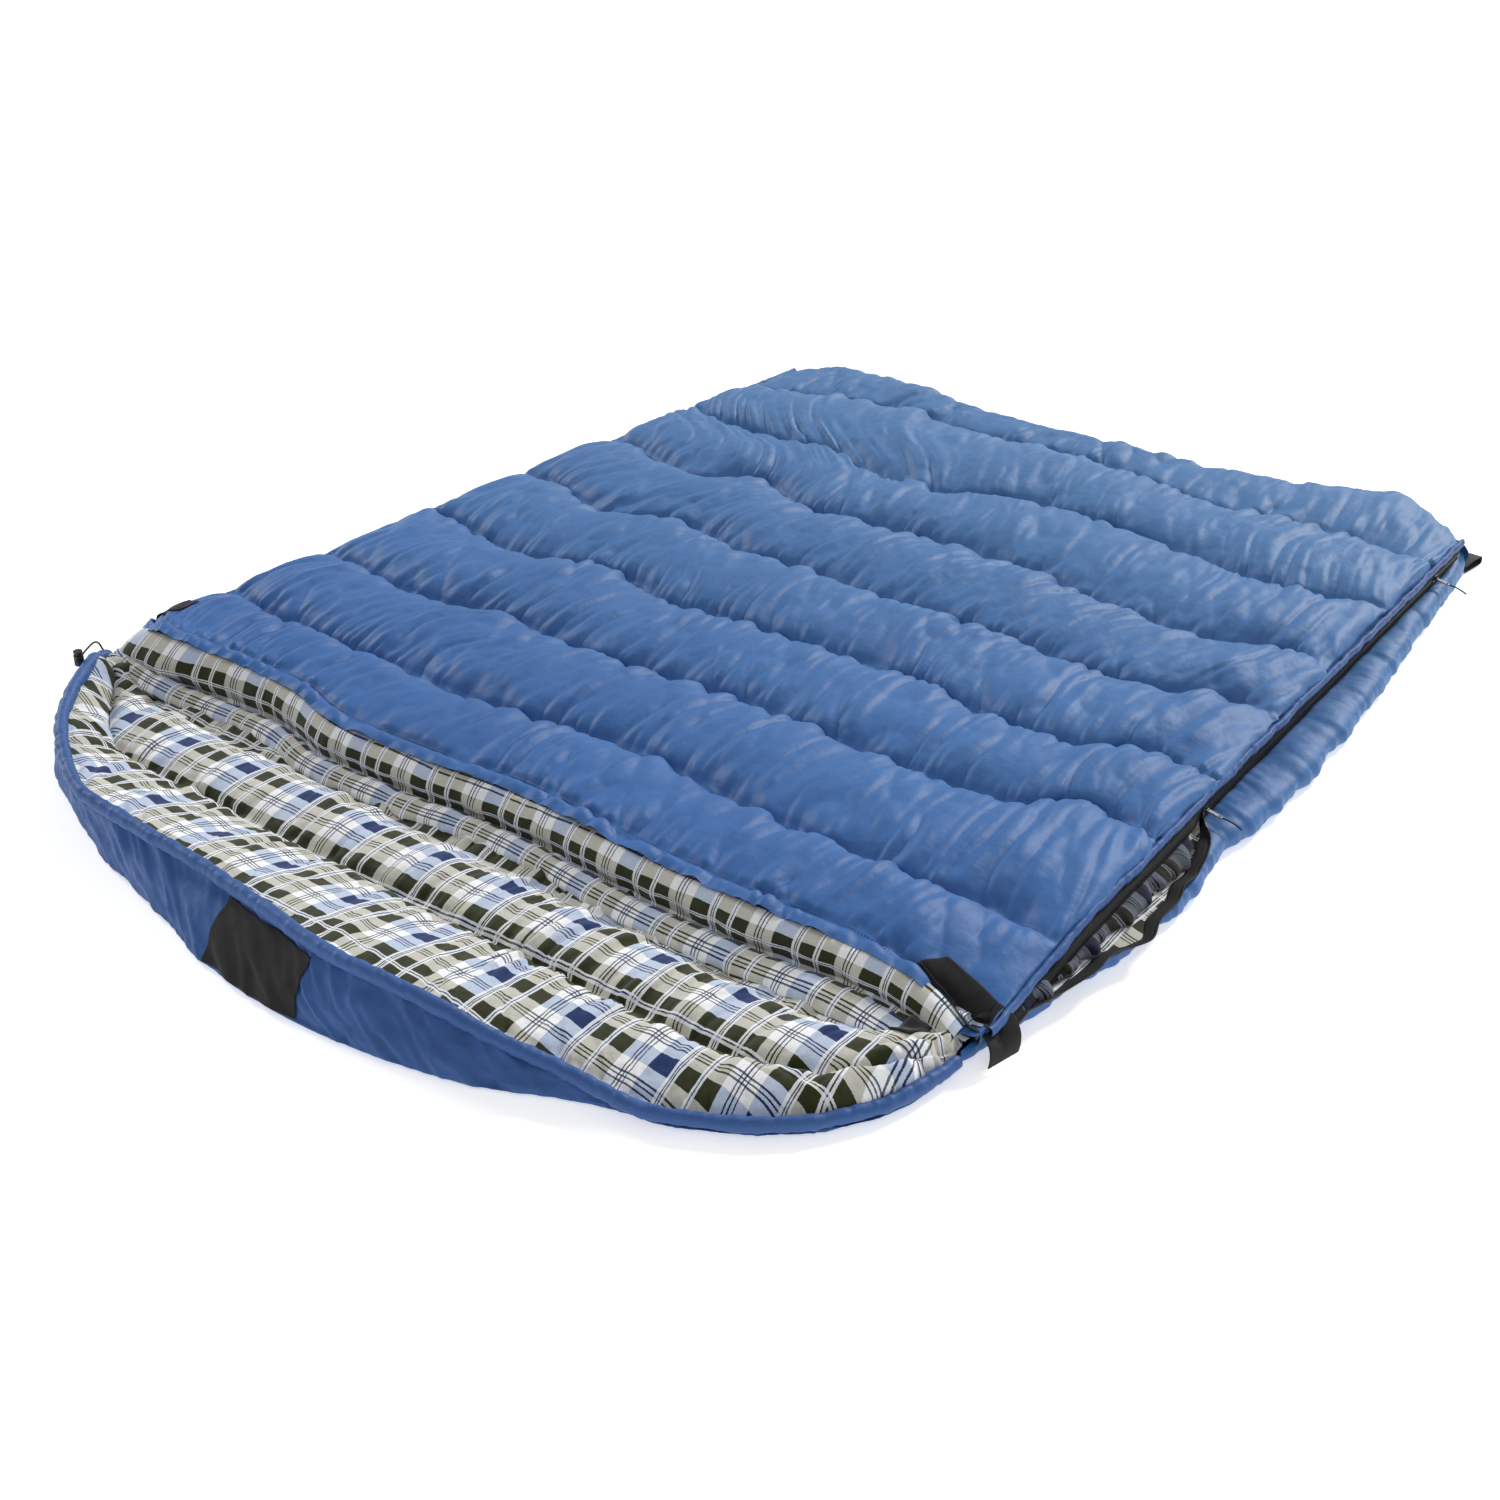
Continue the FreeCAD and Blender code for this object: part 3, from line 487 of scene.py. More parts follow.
FOLD_Y = -0.010
SEAMS = {
1: [(-0.833, -0.446), (-0.783, -0.459), (-0.72, -0.471), (-0.632, -0.478), (-0.544, -0.481), (-0.481, -0.481), (-0.392, -0.478), (-0.317, -0.484), (-0.241, -0.486), (-0.141, -0.478), (-0.065, -0.471), (-0.015, -0.461), (0.048, -0.452), (0.124, -0.459), (0.212, -0.474), (0.288, -0.484), (0.388, -0.494), (0.464, -0.497), (0.527, -0.497), (0.59, -0.503), (0.64, -0.499), (0.703, -0.478), (0.766, -0.484), (0.829, -0.503)],
2: [(-0.77, -0.238), (-0.695, -0.257), (-0.619, -0.264), (-0.544, -0.261), (-0.481, -0.251), (-0.418, -0.236), (-0.38, -0.232), (-0.317, -0.247), (-0.254, -0.257), (-0.166, -0.253), (-0.065, -0.247), (0.011, -0.242), (0.073, -0.232), (0.149, -0.238), (0.237, -0.242), (0.338, -0.251), (0.439, -0.251), (0.527, -0.247), (0.602, -0.242), (0.628, -0.219), (0.665, -0.188), (0.716, -0.182), (0.766, -0.194), (0.804, -0.219)],
3: [(-0.751, 0.007), (-0.695, -0.012), (-0.632, -0.028), (-0.556, -0.037), (-0.481, -0.018), (-0.418, 0.001), (-0.367, 0.007), (-0.317, 0.001), (-0.267, -0.018), (-0.216, -0.031), (-0.166, -0.024), (-0.115, -0.018), (-0.04, -0.018), (0.036, -0.022), (0.111, -0.015), (0.174, -0.008), (0.237, -0.012), (0.288, -0.018), (0.351, -0.034), (0.439, -0.046), (0.527, -0.049), (0.59, -0.043), (0.628, -0.018), (0.665, 0.007), (0.716, 0.007), (0.779, -0.012)],
4: [(-0.745, 0.253), (-0.682, 0.234), (-0.619, 0.211), (-0.55, 0.19), (-0.493, 0.215), (-0.43, 0.24), (-0.38, 0.243), (-0.317, 0.228), (-0.254, 0.206), (-0.191, 0.211), (-0.115, 0.219), (-0.04, 0.215), (0.023, 0.206), (0.073, 0.206), (0.136, 0.211), (0.212, 0.209), (0.288, 0.199), (0.351, 0.196), (0.439, 0.186), (0.514, 0.173), (0.577, 0.184), (0.628, 0.206), (0.678, 0.234), (0.728, 0.238), (0.779, 0.221)],
5: [(-0.739, 0.495), (-0.682, 0.473), (-0.619, 0.448), (-0.544, 0.429), (-0.506, 0.442), (-0.474, 0.476), (-0.418, 0.502), (-0.38, 0.486), (-0.33, 0.461), (-0.267, 0.433), (-0.216, 0.429), (-0.166, 0.445), (-0.103, 0.454), (-0.04, 0.458), (0.036, 0.463), (0.111, 0.458), (0.212, 0.451), (0.288, 0.429), (0.376, 0.41), (0.464, 0.404), (0.539, 0.398), (0.602, 0.408), (0.64, 0.429), (0.691, 0.445), (0.728, 0.442), (0.772, 0.417)],
6: [(-0.751, 0.725), (-0.72, 0.706), (-0.67, 0.694), (-0.619, 0.687), (-0.556, 0.687), (-0.481, 0.681), (-0.449, 0.694), (-0.405, 0.7), (-0.361, 0.69), (-0.317, 0.668), (-0.241, 0.656), (-0.166, 0.652), (-0.115, 0.652), (-0.084, 0.668), (-0.027, 0.7), (0.036, 0.719), (0.111, 0.723), (0.212, 0.712), (0.288, 0.702), (0.363, 0.69), (0.439, 0.675), (0.514, 0.662), (0.59, 0.656), (0.64, 0.662), (0.678, 0.681), (0.741, 0.687), (0.772, 0.675)],
7: [(-0.733, 0.899), (-0.651, 0.914), (-0.613, 0.927), (-0.556, 0.949), (-0.481, 0.973), (-0.437, 0.987), (-0.367, 0.983), (-0.292, 0.967), (-0.216, 0.958), (-0.141, 0.962), (-0.065, 0.971), (0.048, 0.971), (0.111, 0.958), (0.174, 0.942), (0.237, 0.923), (0.288, 0.914), (0.363, 0.914), (0.439, 0.927), (0.527, 0.933), (0.628, 0.929), (0.703, 0.916), (0.754, 0.899)],
}
# head edge of the top quilt (stitch line of the hem) and its height
HEAD = [(-0.868, -0.600, 0.062), (-0.850, -0.640, 0.092), (-0.800, -0.662, 0.112), (-0.73, -0.668, 0.118), (-0.66, -0.664, 0.116), (-0.597, -0.658, 0.113), (-0.496, -0.656, 0.108), (-0.434, -0.664, 0.106),
        (-0.371, -0.684, 0.104), (-0.308, -0.691, 0.103), (-0.207, -0.689, 0.103), (-0.107, -0.686, 0.103), (-0.032, -0.676, 0.103), (0.044, -0.676, 0.103), (0.119, -0.683, 0.104), (0.22, -0.693, 0.104),
        (0.346, -0.700, 0.103), (0.47, -0.700, 0.101), (0.56, -0.694, 0.099), (0.64, -0.690, 0.096), (0.71, -0.690, 0.088), (0.765, -0.694, 0.070), (0.800, -0.700, 0.045)]
FOOT = [(-0.80, 0.985), (-0.765, 1.02), (-0.70, 1.075), (-0.60, 1.10), (-0.47, 1.095), (-0.35, 1.07), (-0.20, 1.055), (-0.05, 1.055), (0.10, 1.058), (0.25, 1.062), (0.36, 1.085), (0.45, 1.115), (0.54, 1.155), (0.61, 1.145), (0.67, 1.10), (0.72, 1.05), (0.745, 0.99)]


def path_fn(points):
    """x -> (y[, z]) along a traced line, smoothed."""
    P = along(points, 400)
    P = P[np.argsort(P[:, 0])]
    x = P[:, 0]
    cols = [blur1(P[:, k], 4) for k in range(1, P.shape[1])]
    def f(q):
        return np.stack([np.interp(q, x, c) for c in cols], -1)
    return f


# ============================================================ upper quilt shell
def top_section(b_left, b_right, n_arc, n_flat):
    """Share across, as (kind, value) columns: left arc, flat, right arc."""
    # Returns the arc and flat counts as they are.
    return n_arc, n_flat


NA = 12
NF = 196
ROWS = [4, 20, 29, 29, 28, 29, 28, 33, 14, 9]

f_head = path_fn(HEAD)
f_seam = {k: path_fn([(x, y, 0.0) for x, y in v]) for k, v in SEAMS.items()}
f_foot = path_fn([(x, y, 0.0) for x, y in FOOT])
XL_HEAD, XR_HEAD = -0.868, 0.800


def key_row(k):
    """Functions of x across the quilt: the y of key row k (head edge, the line 30 mm behind it, a seam, or the foot
    edge).
    """
    if k == 0:
        return lambda x: f_head(x)[..., 0]
    if k == 1:
        return lambda x: f_head(x)[..., 0] + 0.030
    if k <= 8:
        return lambda x: f_seam[k - 1](x)[..., 0]
    return lambda x: f_foot(x)[..., 0]


def head_z(x):
    return f_head(x)[..., 1]


def top_shell_grid():
    rows_y, rows_v, rows_ch, rows_kind = [], [], [], []
    U = []
    phi = np.radians(np.linspace(-38, 90, NA + 1))
    flat = np.linspace(0, 1, NF + 1)
    a = 0.052
    grid = []
    pins = []
    xs_at = {}
    # channel key rows 0..9, plus a roll down at the foot
    for ch in range(9):
        n = ROWS[ch]
        for r in range(n):
            v = r / n
            grid.append((ch, v))
    grid.append((8, 1.0))
    n_roll = ROWS[9]
    V = []
    pin_rows = []
    for gi, (ch, v) in enumerate(grid):
        ya, yb = key_row(ch), key_row(ch + 1)
        # crest profile over the channel
        if ch == 0:
            prof = 0.35 * np.sin(np.pi * v)
        elif ch == 8:
            prof = np.sqrt(max(0.0, 1 - (1 - min(v / 0.55, 1.0)) ** 2)) if v < 0.55 else 1.0
        else:
            prof = (1 - abs(2 * v - 1) ** 2.5) ** 0.56
        ym = (ya(np.array([0.0])) * (1 - v) + yb(np.array([0.0])) * v)[0]
        # side lines at about this y
        xl = zl(ym) + 0.0; xr = zr(ym) - 0.0
        xcl = xl + a - 0.010; xcr = xr - a + 0.001
        xf = xcl + (xcr - xcl) * flat
        cs = np.where(phi[:-1] < 0, 1 - 0.15 * (1 - np.cos(phi[:-1])), np.cos(phi[:-1]))
        col_x = np.r_[xcl - a * cs, xf, (xcr + a * cs)[::-1]]
        cx = np.clip(col_x, -0.86, 0.80)
        y = ya(cx) * (1 - v) + yb(cx) * v
        # heights
        seam_z = 0.079; crest_z = 0.1135
        if ch == 0:
            top = head_z(cx) - 0.004 * (1 - v) * 0 + 0.004 * np.sin(np.pi * v)
            low = top
        else:
            fade = 1 - 0.55 * sstep(0.085, 0.02, xr - col_x) - 0.25 * sstep(0.05, 0.01, col_x - xl)
            sz = crest_z - (crest_z - seam_z) * fade
            cz = crest_z + 0.0 * col_x
            h0 = head_z(cx)
            start = h0 + (sz - h0) * 0.0
            if ch == 1:
                base0 = h0; base1 = sz
                lin = base0 * (1 - v) + base1 * v
                top = lin + (np.maximum(cz - lin, 0.004)) * prof
            elif ch == 8:
                top = sz + (0.094 - sz) * prof
            else:
                top = sz + (cz - sz) * prof
            if ch == 1:
                pass
        zmid = 0.082 + 0 * col_x
        z = top.copy()
        # the head corner on the right sinks to the floor
        drop = 0.036 * sstep(-0.36, -0.66, y) * sstep(0.60, 0.78, col_x) * sstep(1.0, 0.0, (ch == 0) * 1.0 * v * 0)
        # arcs down to the zip
        ang = np.r_[np.sin(phi[:-1]), np.ones(NF + 1), np.sin(phi[:-1])[::-1]]
        edge = 0.064 - 0.030 * sstep(-0.35, -0.70, y) * (col_x > 0) * (1 - 0.0) + 0.0
        mid = edge + 0.020
        up = np.clip(ang, 0, 1); dn = np.clip(-ang, 0, 1)
        z = np.where(ang < 1, mid + (top - mid) * up - (mid - edge) * dn / math.sin(math.radians(38)), top)
        # top near the right edge slopes down a little
        slope = 0.012 * sstep(0.16, 0.0, xr - col_x) + 0.006 * sstep(0.12, 0.0, col_x - xl)
        z = z - slope * (ang >= 0) * up
        if ch >= 1:
            z = z - drop * up
        V.append(np.stack([col_x, y, z], 1))
        pin_rows.append(v == 0.0 and ch >= 1)
    # roll down at the foot
    last = V[-1].copy()
    for r in range(1, n_roll + 1):
        t = r / n_roll
        th = math.radians(90 - 128 * t)
        q = last.copy()
        rad_y = 0.028; zc = 0.066
        q[:, 1] = last[:, 1] + rad_y * math.cos(th)
        hh = last[:, 2] - zc
        q[:, 2] = np.where(last[:, 2] > zc, zc + hh * max(math.sin(th), 0) - 0.030 * max(-math.sin(th), 0), last[:, 2] - 0.030 * max(-math.sin(th), 0) * 0.3)
        V.append(q); pin_rows.append(False)
    V = np.array(V)                     # rows, cols, 3
    return V, np.array(pin_rows)


def cloth_puff(o, pinned, rest, pressure=1.0, frames=22, quality=4, mass=0.10, bend=0.04, tension=12.0, air=1.0, damp=8.0):
    """Blender's cloth, gravity off: pressed out from inside while its rest shape is larger, so that it wrinkles off its seams."""
    scn = bpy.context.scene
    o.shape_key_add(name="Basis")
    k = o.shape_key_add(name="rest")
    k.data.foreach_set("co", np.asarray(rest, np.float32).reshape(-1))
    k.value = 0.0
    vg = o.vertex_groups.new(name="pin")
    idx = np.nonzero(pinned > 0)[0]
    for w in np.unique(pinned[idx]):
        vg.add(idx[pinned[idx] == w].tolist(), float(w), "REPLACE")
    m = o.modifiers.new("cloth", "CLOTH")
    s = m.settings
    s.quality = quality; s.mass = mass; s.air_damping = air
    s.tension_stiffness = tension; s.compression_stiffness = tension; s.shear_stiffness = tension * 0.5
    s.bending_stiffness = bend; s.bending_model = "ANGULAR"
    s.tension_damping = damp; s.compression_damping = damp; s.shear_damping = damp; s.bending_damping = 0.5
    s.vertex_group_mass = "pin"; s.pin_stiffness = 1.0
    s.rest_shape_key = k
    s.use_pressure = True; s.uniform_pressure_force = pressure
    s.effector_weights.gravity = 0.0
    m.collision_settings.use_collision = False
    m.collision_settings.use_self_collision = False
    m.point_cache.frame_start = 1; m.point_cache.frame_end = frames
    scn.frame_start = 1; scn.frame_end = frames
    for f in range(1, frames + 1):
        scn.frame_set(f)
    apply_mods(o)
    scn.frame_set(1)


def unpin_groups(o):
    o.vertex_groups.clear()


import time
T0 = time.time()
V, pin_rows = top_shell_grid()
nr, nc = V.shape[:2]
print("top grid", nr, nc, nr * nc)
# fine starting wrinkles, long along the length
X, Y = V[..., 0], V[..., 1]
seed = fbm(X * 36 + 3.0 * noise2(X * 3, Y * 3, 5), Y * 7, 11, 3)
V0 = V.copy()
interior = np.ones((nr, nc)); interior[:, :3] = 0; interior[:, -3:] = 0; interior[pin_rows] = 0; interior[0] = 0; interior[-2:] = 0
V[..., 2] += 0.0022 * seed * interior
pin = np.zeros((nr, nc)); pin[pin_rows] = 1; pin[:, :2] = 1; pin[:, -2:] = 1; pin[0] = 1; pin[-1] = 1
# near the side ends the seams let go
endfree = (X > (zr(Y) - 0.075)) & (V[..., 2] > 0.07)
pin[pin_rows] = np.where(endfree[pin_rows] & (np.arange(nc) < nc - 2), 0.0, pin[pin_rows])
# a bigger rest shape across, by a share that changes slowly over the quilt
REST = V.copy()
stretch = 0.105 + 0.030 * noise2(X * 2.2, Y * 2.6, 3)
dx = np.diff(V[..., 0], axis=1)
cum = np.concatenate([np.zeros((nr, 1)), np.cumsum(dx * stretch[:, 1:], axis=1)], 1)
REST[..., 0] += cum - cum[:, -1:] / 2
REST[..., 1] = V[..., 1] * 1.0
uvs = np.stack([V[..., 0], V[..., 1]], -1)
top_shell = grid_mesh("top_quilt_shell", V, uvs, mat=M_SHELL, flip=True)
cloth_puff(top_shell, pin.reshape(-1), REST.reshape(-1, 3), pressure=0.35, frames=24, bend=0.015)
W = verts(top_shell)
print("puffed", time.time() - T0, W.min(0), W.max(0))
print("moved", np.abs(W.reshape(nr, nc, 3) - V).max(), "z crest mean", W.reshape(nr, nc, 3)[..., 2].mean())


def finer(o, levels=1):
    subdivide(o, levels)


def ruffle(o, amp, scale, seed, mask=None, stretch=(1.0, 1.0)):
    """Fine creases along the normals, from the plan position."""
    P = verts(o)
    n = np.empty(len(P) * 3, np.float32); o.data.vertices.foreach_get("normal", n); n = n.reshape(-1, 3)
    x, y = P[:, 0] * stretch[0], P[:, 1] * stretch[1]
    w = fbm(x * scale + noise2(x * scale * 0.3, y * scale * 0.3, seed + 3), y * scale + 0.7 * P[:, 2] * scale, seed, 3)
    if mask is not None:
        w = w * mask(P)
    set_verts(o, P + n * (amp * w)[:, None])


W3 = W.reshape(nr, nc, 3)
seam_rows = [i for i in range(nr) if pin_rows[i]]
hem_row = seam_rows[0]


def stitch_line(P, nrm, length=0.0034, pitch=0.0052, r=0.00055, lift=0.0004):
    """Small rounded stitches along a path P (n,3)."""
    d = np.r_[0, np.cumsum(np.linalg.norm(np.diff(P, axis=0), axis=1))]
    s = np.arange(0.004, d[-1] - length, pitch)
    a = np.stack([np.interp(s, d, P[:, k]) for k in range(3)], 1)
    b = np.stack([np.interp(s + length, d, P[:, k]) for k in range(3)], 1)
    n = np.stack([np.interp(s, d, nrm[:, k]) for k in range(3)], 1)
    n /= np.linalg.norm(n, axis=1)[:, None]
    t = b - a; t /= np.linalg.norm(t, axis=1)[:, None]
    w = np.cross(t, n)
    out = []
    for i in range(len(s)):
        m = (a[i] + b[i]) / 2 + n[i] * (lift + r)
        A = a[i] + n[i] * lift * 0.2; B = b[i] + n[i] * lift * 0.2
        v = [A - w[i] * r, A + w[i] * r, m - w[i] * r * 1.3, m + w[i] * r * 1.3, B - w[i] * r, B + w[i] * r, m - n[i] * r * 1.6]
        f = [[0, 1, 3, 2], [2, 3, 5, 4], [0, 2, 6], [2, 4, 6], [1, 6, 3], [3, 6, 5]]
        out.append((v, f))
    return out


up = np.zeros((nc, 3)); up[:, 2] = 1
stitches = []
for i in seam_rows:
    lo, hi = NA + 1, nc - NA - 2
    if i != hem_row:
        hi = int(np.argmin(np.abs(W3[i, :, 0] - (zr(W3[i, :, 1]) - 0.060))))
    P = W3[i, lo:hi] + np.array([0, 0, 0.0006])
    stitches += stitch_line(P, up[lo:hi])
W3[seam_rows, NA + 1:nc - NA - 1, 2] -= 0.0035
set_verts(top_shell, W3.reshape(-1, 3))
finer(top_shell, 1)


def seam_distance(x, y):
    d = np.abs(y - (f_head(np.clip(x, -0.86, 0.80))[..., 0] + 0.030))
    for k in f_seam:
        d = np.minimum(d, np.abs(y - f_seam[k](x)[..., 0]))
    return d


def crease_field(x, y, seed):
    """Sharp valleys between rounded ridges, running off the seams, with some at a slant."""
    lean = 0.55 * noise2(x * 2.1, y * 2.3, seed + 1)
    u = x + lean * y * 0.5 + 0.012 * noise2(x * 9, y * 9, seed + 2)
    a = np.sqrt(noise2(u * 34, y * 5.5, seed + 4) ** 2 + 0.004)
    b = np.sqrt(noise2(u * 62, y * 11 + 3, seed + 5) ** 2 + 0.006)
    c = np.sqrt(noise2(x * 17 + y * 9, y * 8 - x * 5, seed + 6) ** 2 + 0.003)
    return 0.55 * (a - 0.33) + 0.25 * (b - 0.33) + 0.45 * (c - 0.33)


Pt = verts(top_shell)
nn = np.empty(len(Pt) * 3, np.float32); top_shell.data.vertices.foreach_get("normal", nn); nn = nn.reshape(-1, 3)
ds = seam_distance(Pt[:, 0], Pt[:, 1])
near = np.exp(-(ds / 0.045))
hold = 1 - np.exp(-(ds / 0.006) ** 2)
side_hold = sstep(0.066, 0.080, Pt[:, 2])
amp = (0.0095 + 0.0140 * near) * hold * side_hold
set_verts(top_shell, Pt + nn * (amp * crease_field(Pt[:, 0], Pt[:, 1], 201))[:, None])
ruffle(top_shell, 0.00045, 90.0, 21, stretch=(1.0, 0.45))
top_seams = join_meshes("top_quilt_stitching", stitches, M_THREAD)

# ------------------------------------------------ underside of the upper quilt
nx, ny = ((110, 130))
yy = np.linspace(0, 1, ny)
xx = np.linspace(0, 1, nx)
XX, YY = np.meshgrid(xx, yy)
G = np.zeros((ny, nx, 3))
for i in range(ny):
    s = yy[i]
    yc = -0.66 + s * (1.075 + 0.66)
    xl, xr = zl(yc) + 0.006, zr(yc) - 0.006
    x = xl + (xr - xl) * xx
    y0 = f_head(np.clip(x, -0.86, 0.80))[..., 0] + 0.006
    y1 = f_foot(np.clip(x, -0.79, 0.74))[..., 0] + 0.010
    G[i, :, 0] = x
    G[i, :, 1] = y0 * (1 - s) + y1 * s
seam_y = [-0.645, -0.48, -0.245, -0.015, 0.215, 0.45, 0.69, 0.95, 1.09]
Yg, Xg = G[..., 1], G[..., 0]
d = np.min([np.abs(Yg - (sy + 0.012 * noise2(Xg * 3, Xg * 0 + sy * 7, 9))) for sy in seam_y[1:-1]], axis=0)
puff = 0.007 * (1 - np.exp(-(d / 0.03) ** 1.3))
G[..., 2] = 0.0635 - puff + 0.0014 * fbm(Xg * 30, Yg * 9, 41, 3) * (1 - np.exp(-(d / 0.01) ** 2) * 0.3) + 0.0006 * noise2(Xg * 60, Yg * 60, 43)
edge_fade = sstep(0, 0.05, Xg - zl(Yg)) * sstep(0, 0.05, zr(Yg) - Xg)
G[..., 2] = G[..., 2] * edge_fade + 0.0635 * (1 - edge_fade)
# the head corner on the right sinks with the shell
G[..., 2] -= 0.026 * sstep(-0.35, -0.70, Yg) * sstep(0.66, 0.80, Xg)
top_lining = grid_mesh("top_quilt_lining", G, np.stack([Xg + 0.02, Yg + 0.03], -1), mat=M_PLAID, flip=False)

# --------------------------------------------- mouth: plaid band under the hem
xs = np.linspace(-0.862, 0.797, 330)
hy, hz = f_head(xs)[..., 0], f_head(xs)[..., 1]
hx = xs + 0.0
lift_left = sstep(-0.55, -0.80, xs)
sink = sstep(0.62, 0.80, xs)
nb = 15
band = np.zeros((len(xs), nb, 3))
low = 0.046 - 0.020 * sink
for j in range(nb):
    t = j / (nb - 1)
    out = 0.003 + 0.013 * math.sin(math.pi * min(t * 1.15, 1.0)) + 0.020 * t
    wob = 0.0035 * fbm(xs * 26, xs * 0 + t * 1.5, 61, 3) * math.sin(math.pi * (0.1 + 0.8 * t))
    band[:, j, 0] = hx
    band[:, j, 1] = hy + 0.004 - out - wob - 0.02 * lift_left * math.sin(math.pi * t)
    band[:, j, 2] = (hz - 0.002) * (1 - t) + low * t + 0.0012 * noise2(xs * 40, xs * 0 + t * 4, 66) * (j > 1)
    if j == 0:
        band[:, j, 1] = hy + 0.014; band[:, j, 2] = hz - 0.0035
    if j == 1:
        band[:, j, 1] = hy - 0.001; band[:, j, 2] = hz - 0.0030
uvb = np.stack([band[..., 0] + 0.02, 0.140 - 0.082 * np.linspace(0, 1, nb)[None, :] + 0 * band[..., 0] + 0.010 * noise2(band[..., 0] * 4, band[..., 0] * 0, 63)], -1)
mouth_band = grid_mesh("mouth_band", band, uvb, mat=M_PLAID, flip=True)
finer(mouth_band, 1)

# ---------------------------------------------------------- draft collar roll
nseg = 420
xs2 = np.linspace(-0.845, 0.775, nseg)
hy2 = f_head(xs2)[..., 0]
ry = 0.024 + 0.006 * sstep(0.0, 0.6, xs2)
P = np.stack([xs2, hy2 - 0.022 - ry * 0.80, 0.041 + 0.016 * sstep(-0.60, -0.83, xs2) - 0.014 * sstep(0.60, 0.78, xs2)], 1)
nt_ = 22
th = np.linspace(0, 2 * np.pi, nt_, endpoint=False)
crease = 1 + 0.10 * fbm(xs2[:, None] * 30 + 0 * th, np.sin(th)[None, :] * 1.4 + 2, 71, 3) + 0.05 * noise2(xs2[:, None] * 75 + 0 * th, np.cos(th)[None, :] * 1.5, 77)
rz = 0.0185 * (1 - 0.25 * sstep(0.60, 0.78, xs2))
C = np.zeros((nseg, nt_, 3))
C[..., 0] = P[:, None, 0]
C[..., 1] = P[:, None, 1] + (ry[:, None] * crease) * np.cos(th)
C[..., 2] = P[:, None, 2] + (rz[:, None] * crease) * np.sin(th)
uvc = np.stack([C[..., 0] * 1.04 + 0.07, np.broadcast_to(th / (2 * np.pi) * 0.135, C.shape[:2])], -1)
collar = grid_mesh("draft_collar_roll", C, uvc, closed_v=True, mat=M_PLAID, flip=True)
finer(collar, 1)

# ======================================================================= hood
RIM = [(-0.838, -0.712, 0.072), (-0.815, -0.762, 0.090), (-0.766, -0.822, 0.099), (-0.722, -0.878, 0.101), (-0.655, -0.944, 0.102), (-0.552, -1.012, 0.102), (-0.468, -1.051, 0.102), (-0.395, -1.058, 0.101), (-0.303, -1.067, 0.102), (-0.214, -1.072, 0.101),
       (-0.122, -1.081, 0.100), (-0.004, -1.098, 0.100), (0.105, -1.113, 0.099), (0.198, -1.108, 0.096), (0.290, -1.096, 0.083), (0.365, -1.080, 0.062), (0.43, -1.060, 0.044), (0.50, -1.050, 0.032), (0.560, -1.044, 0.025),
       (0.620, -1.016, 0.0205), (0.685, -0.980, 0.0205), (0.733, -0.940, 0.0205), (0.768, -0.890, 0.0205), (0.794, -0.838, 0.0205), (0.808, -0.775, 0.0205), (0.812, -0.722, 0.0205)]
FLOOR = [(-0.868, -0.705, 0.0), (-0.878, -0.760, 0.0), (-0.800, -0.862, 0.0), (-0.735, -0.905, 0.0), (-0.655, -0.962, 0.0), (-0.560, -1.005, 0.0), (-0.468, -1.045, 0.0), (-0.395, -1.066, 0.0), (-0.301, -1.090, 0.0), (-0.214, -1.117, 0.0),
         (-0.122, -1.144, 0.0), (-0.004, -1.160, 0.0), (0.105, -1.160, 0.0), (0.198, -1.152, 0.0), (0.290, -1.134, 0.0), (0.369, -1.110, 0.0), (0.435, -1.076, 0.0), (0.498, -1.052, 0.0), (0.556, -1.036, 0.0),
         (0.616, -1.008, 0.0), (0.680, -0.973, 0.0), (0.727, -0.935, 0.0), (0.762, -0.886, 0.0), (0.788, -0.836, 0.0), (0.802, -0.775, 0.0), (0.806, -0.715, 0.0)]
nh = 300
rim_raw = np.array(RIM); fl_raw = np.array(FLOOR)
dr = np.r_[0, np.cumsum(np.linalg.norm(np.diff(rim_raw[:, :2], axis=0), axis=1))]; dr /= dr[-1]
def even(points, n, d):
    P = np.array(points, float)
    q = along(points, 2400)
    dq = np.r_[0, np.cumsum(np.linalg.norm(np.diff(q, axis=0), axis=1))]
    # position of each given point along the smooth curve
    k = [int(np.argmin(np.linalg.norm(q - p, axis=1))) for p in P]
    s = np.interp(np.linspace(0, 1, n), d, dq[k])
    return np.stack([np.interp(s, dq, q[:, c]) for c in range(3)], 1)
R_ = even(RIM, nh, dr); F_ = even(FLOOR, nh, dr)
for c in range(2):
    R_[:, c] = blur1(R_[:, c], 2); F_[:, c] = blur1(F_[:, c], 2)
T_ = np.gradient(R_[:, :2], axis=0); T_ /= np.linalg.norm(T_, axis=1)[:, None]
OUT = np.stack([T_[:, 1] * -1, T_[:, 0]], 1) * -1.0       # outward in plan
OUT = np.stack([T_[:, 1], -T_[:, 0]], 1)
u_ = np.linspace(0, 1, nh)
s_len = np.r_[0, np.cumsum(np.linalg.norm(np.diff(R_, axis=0), axis=1))]

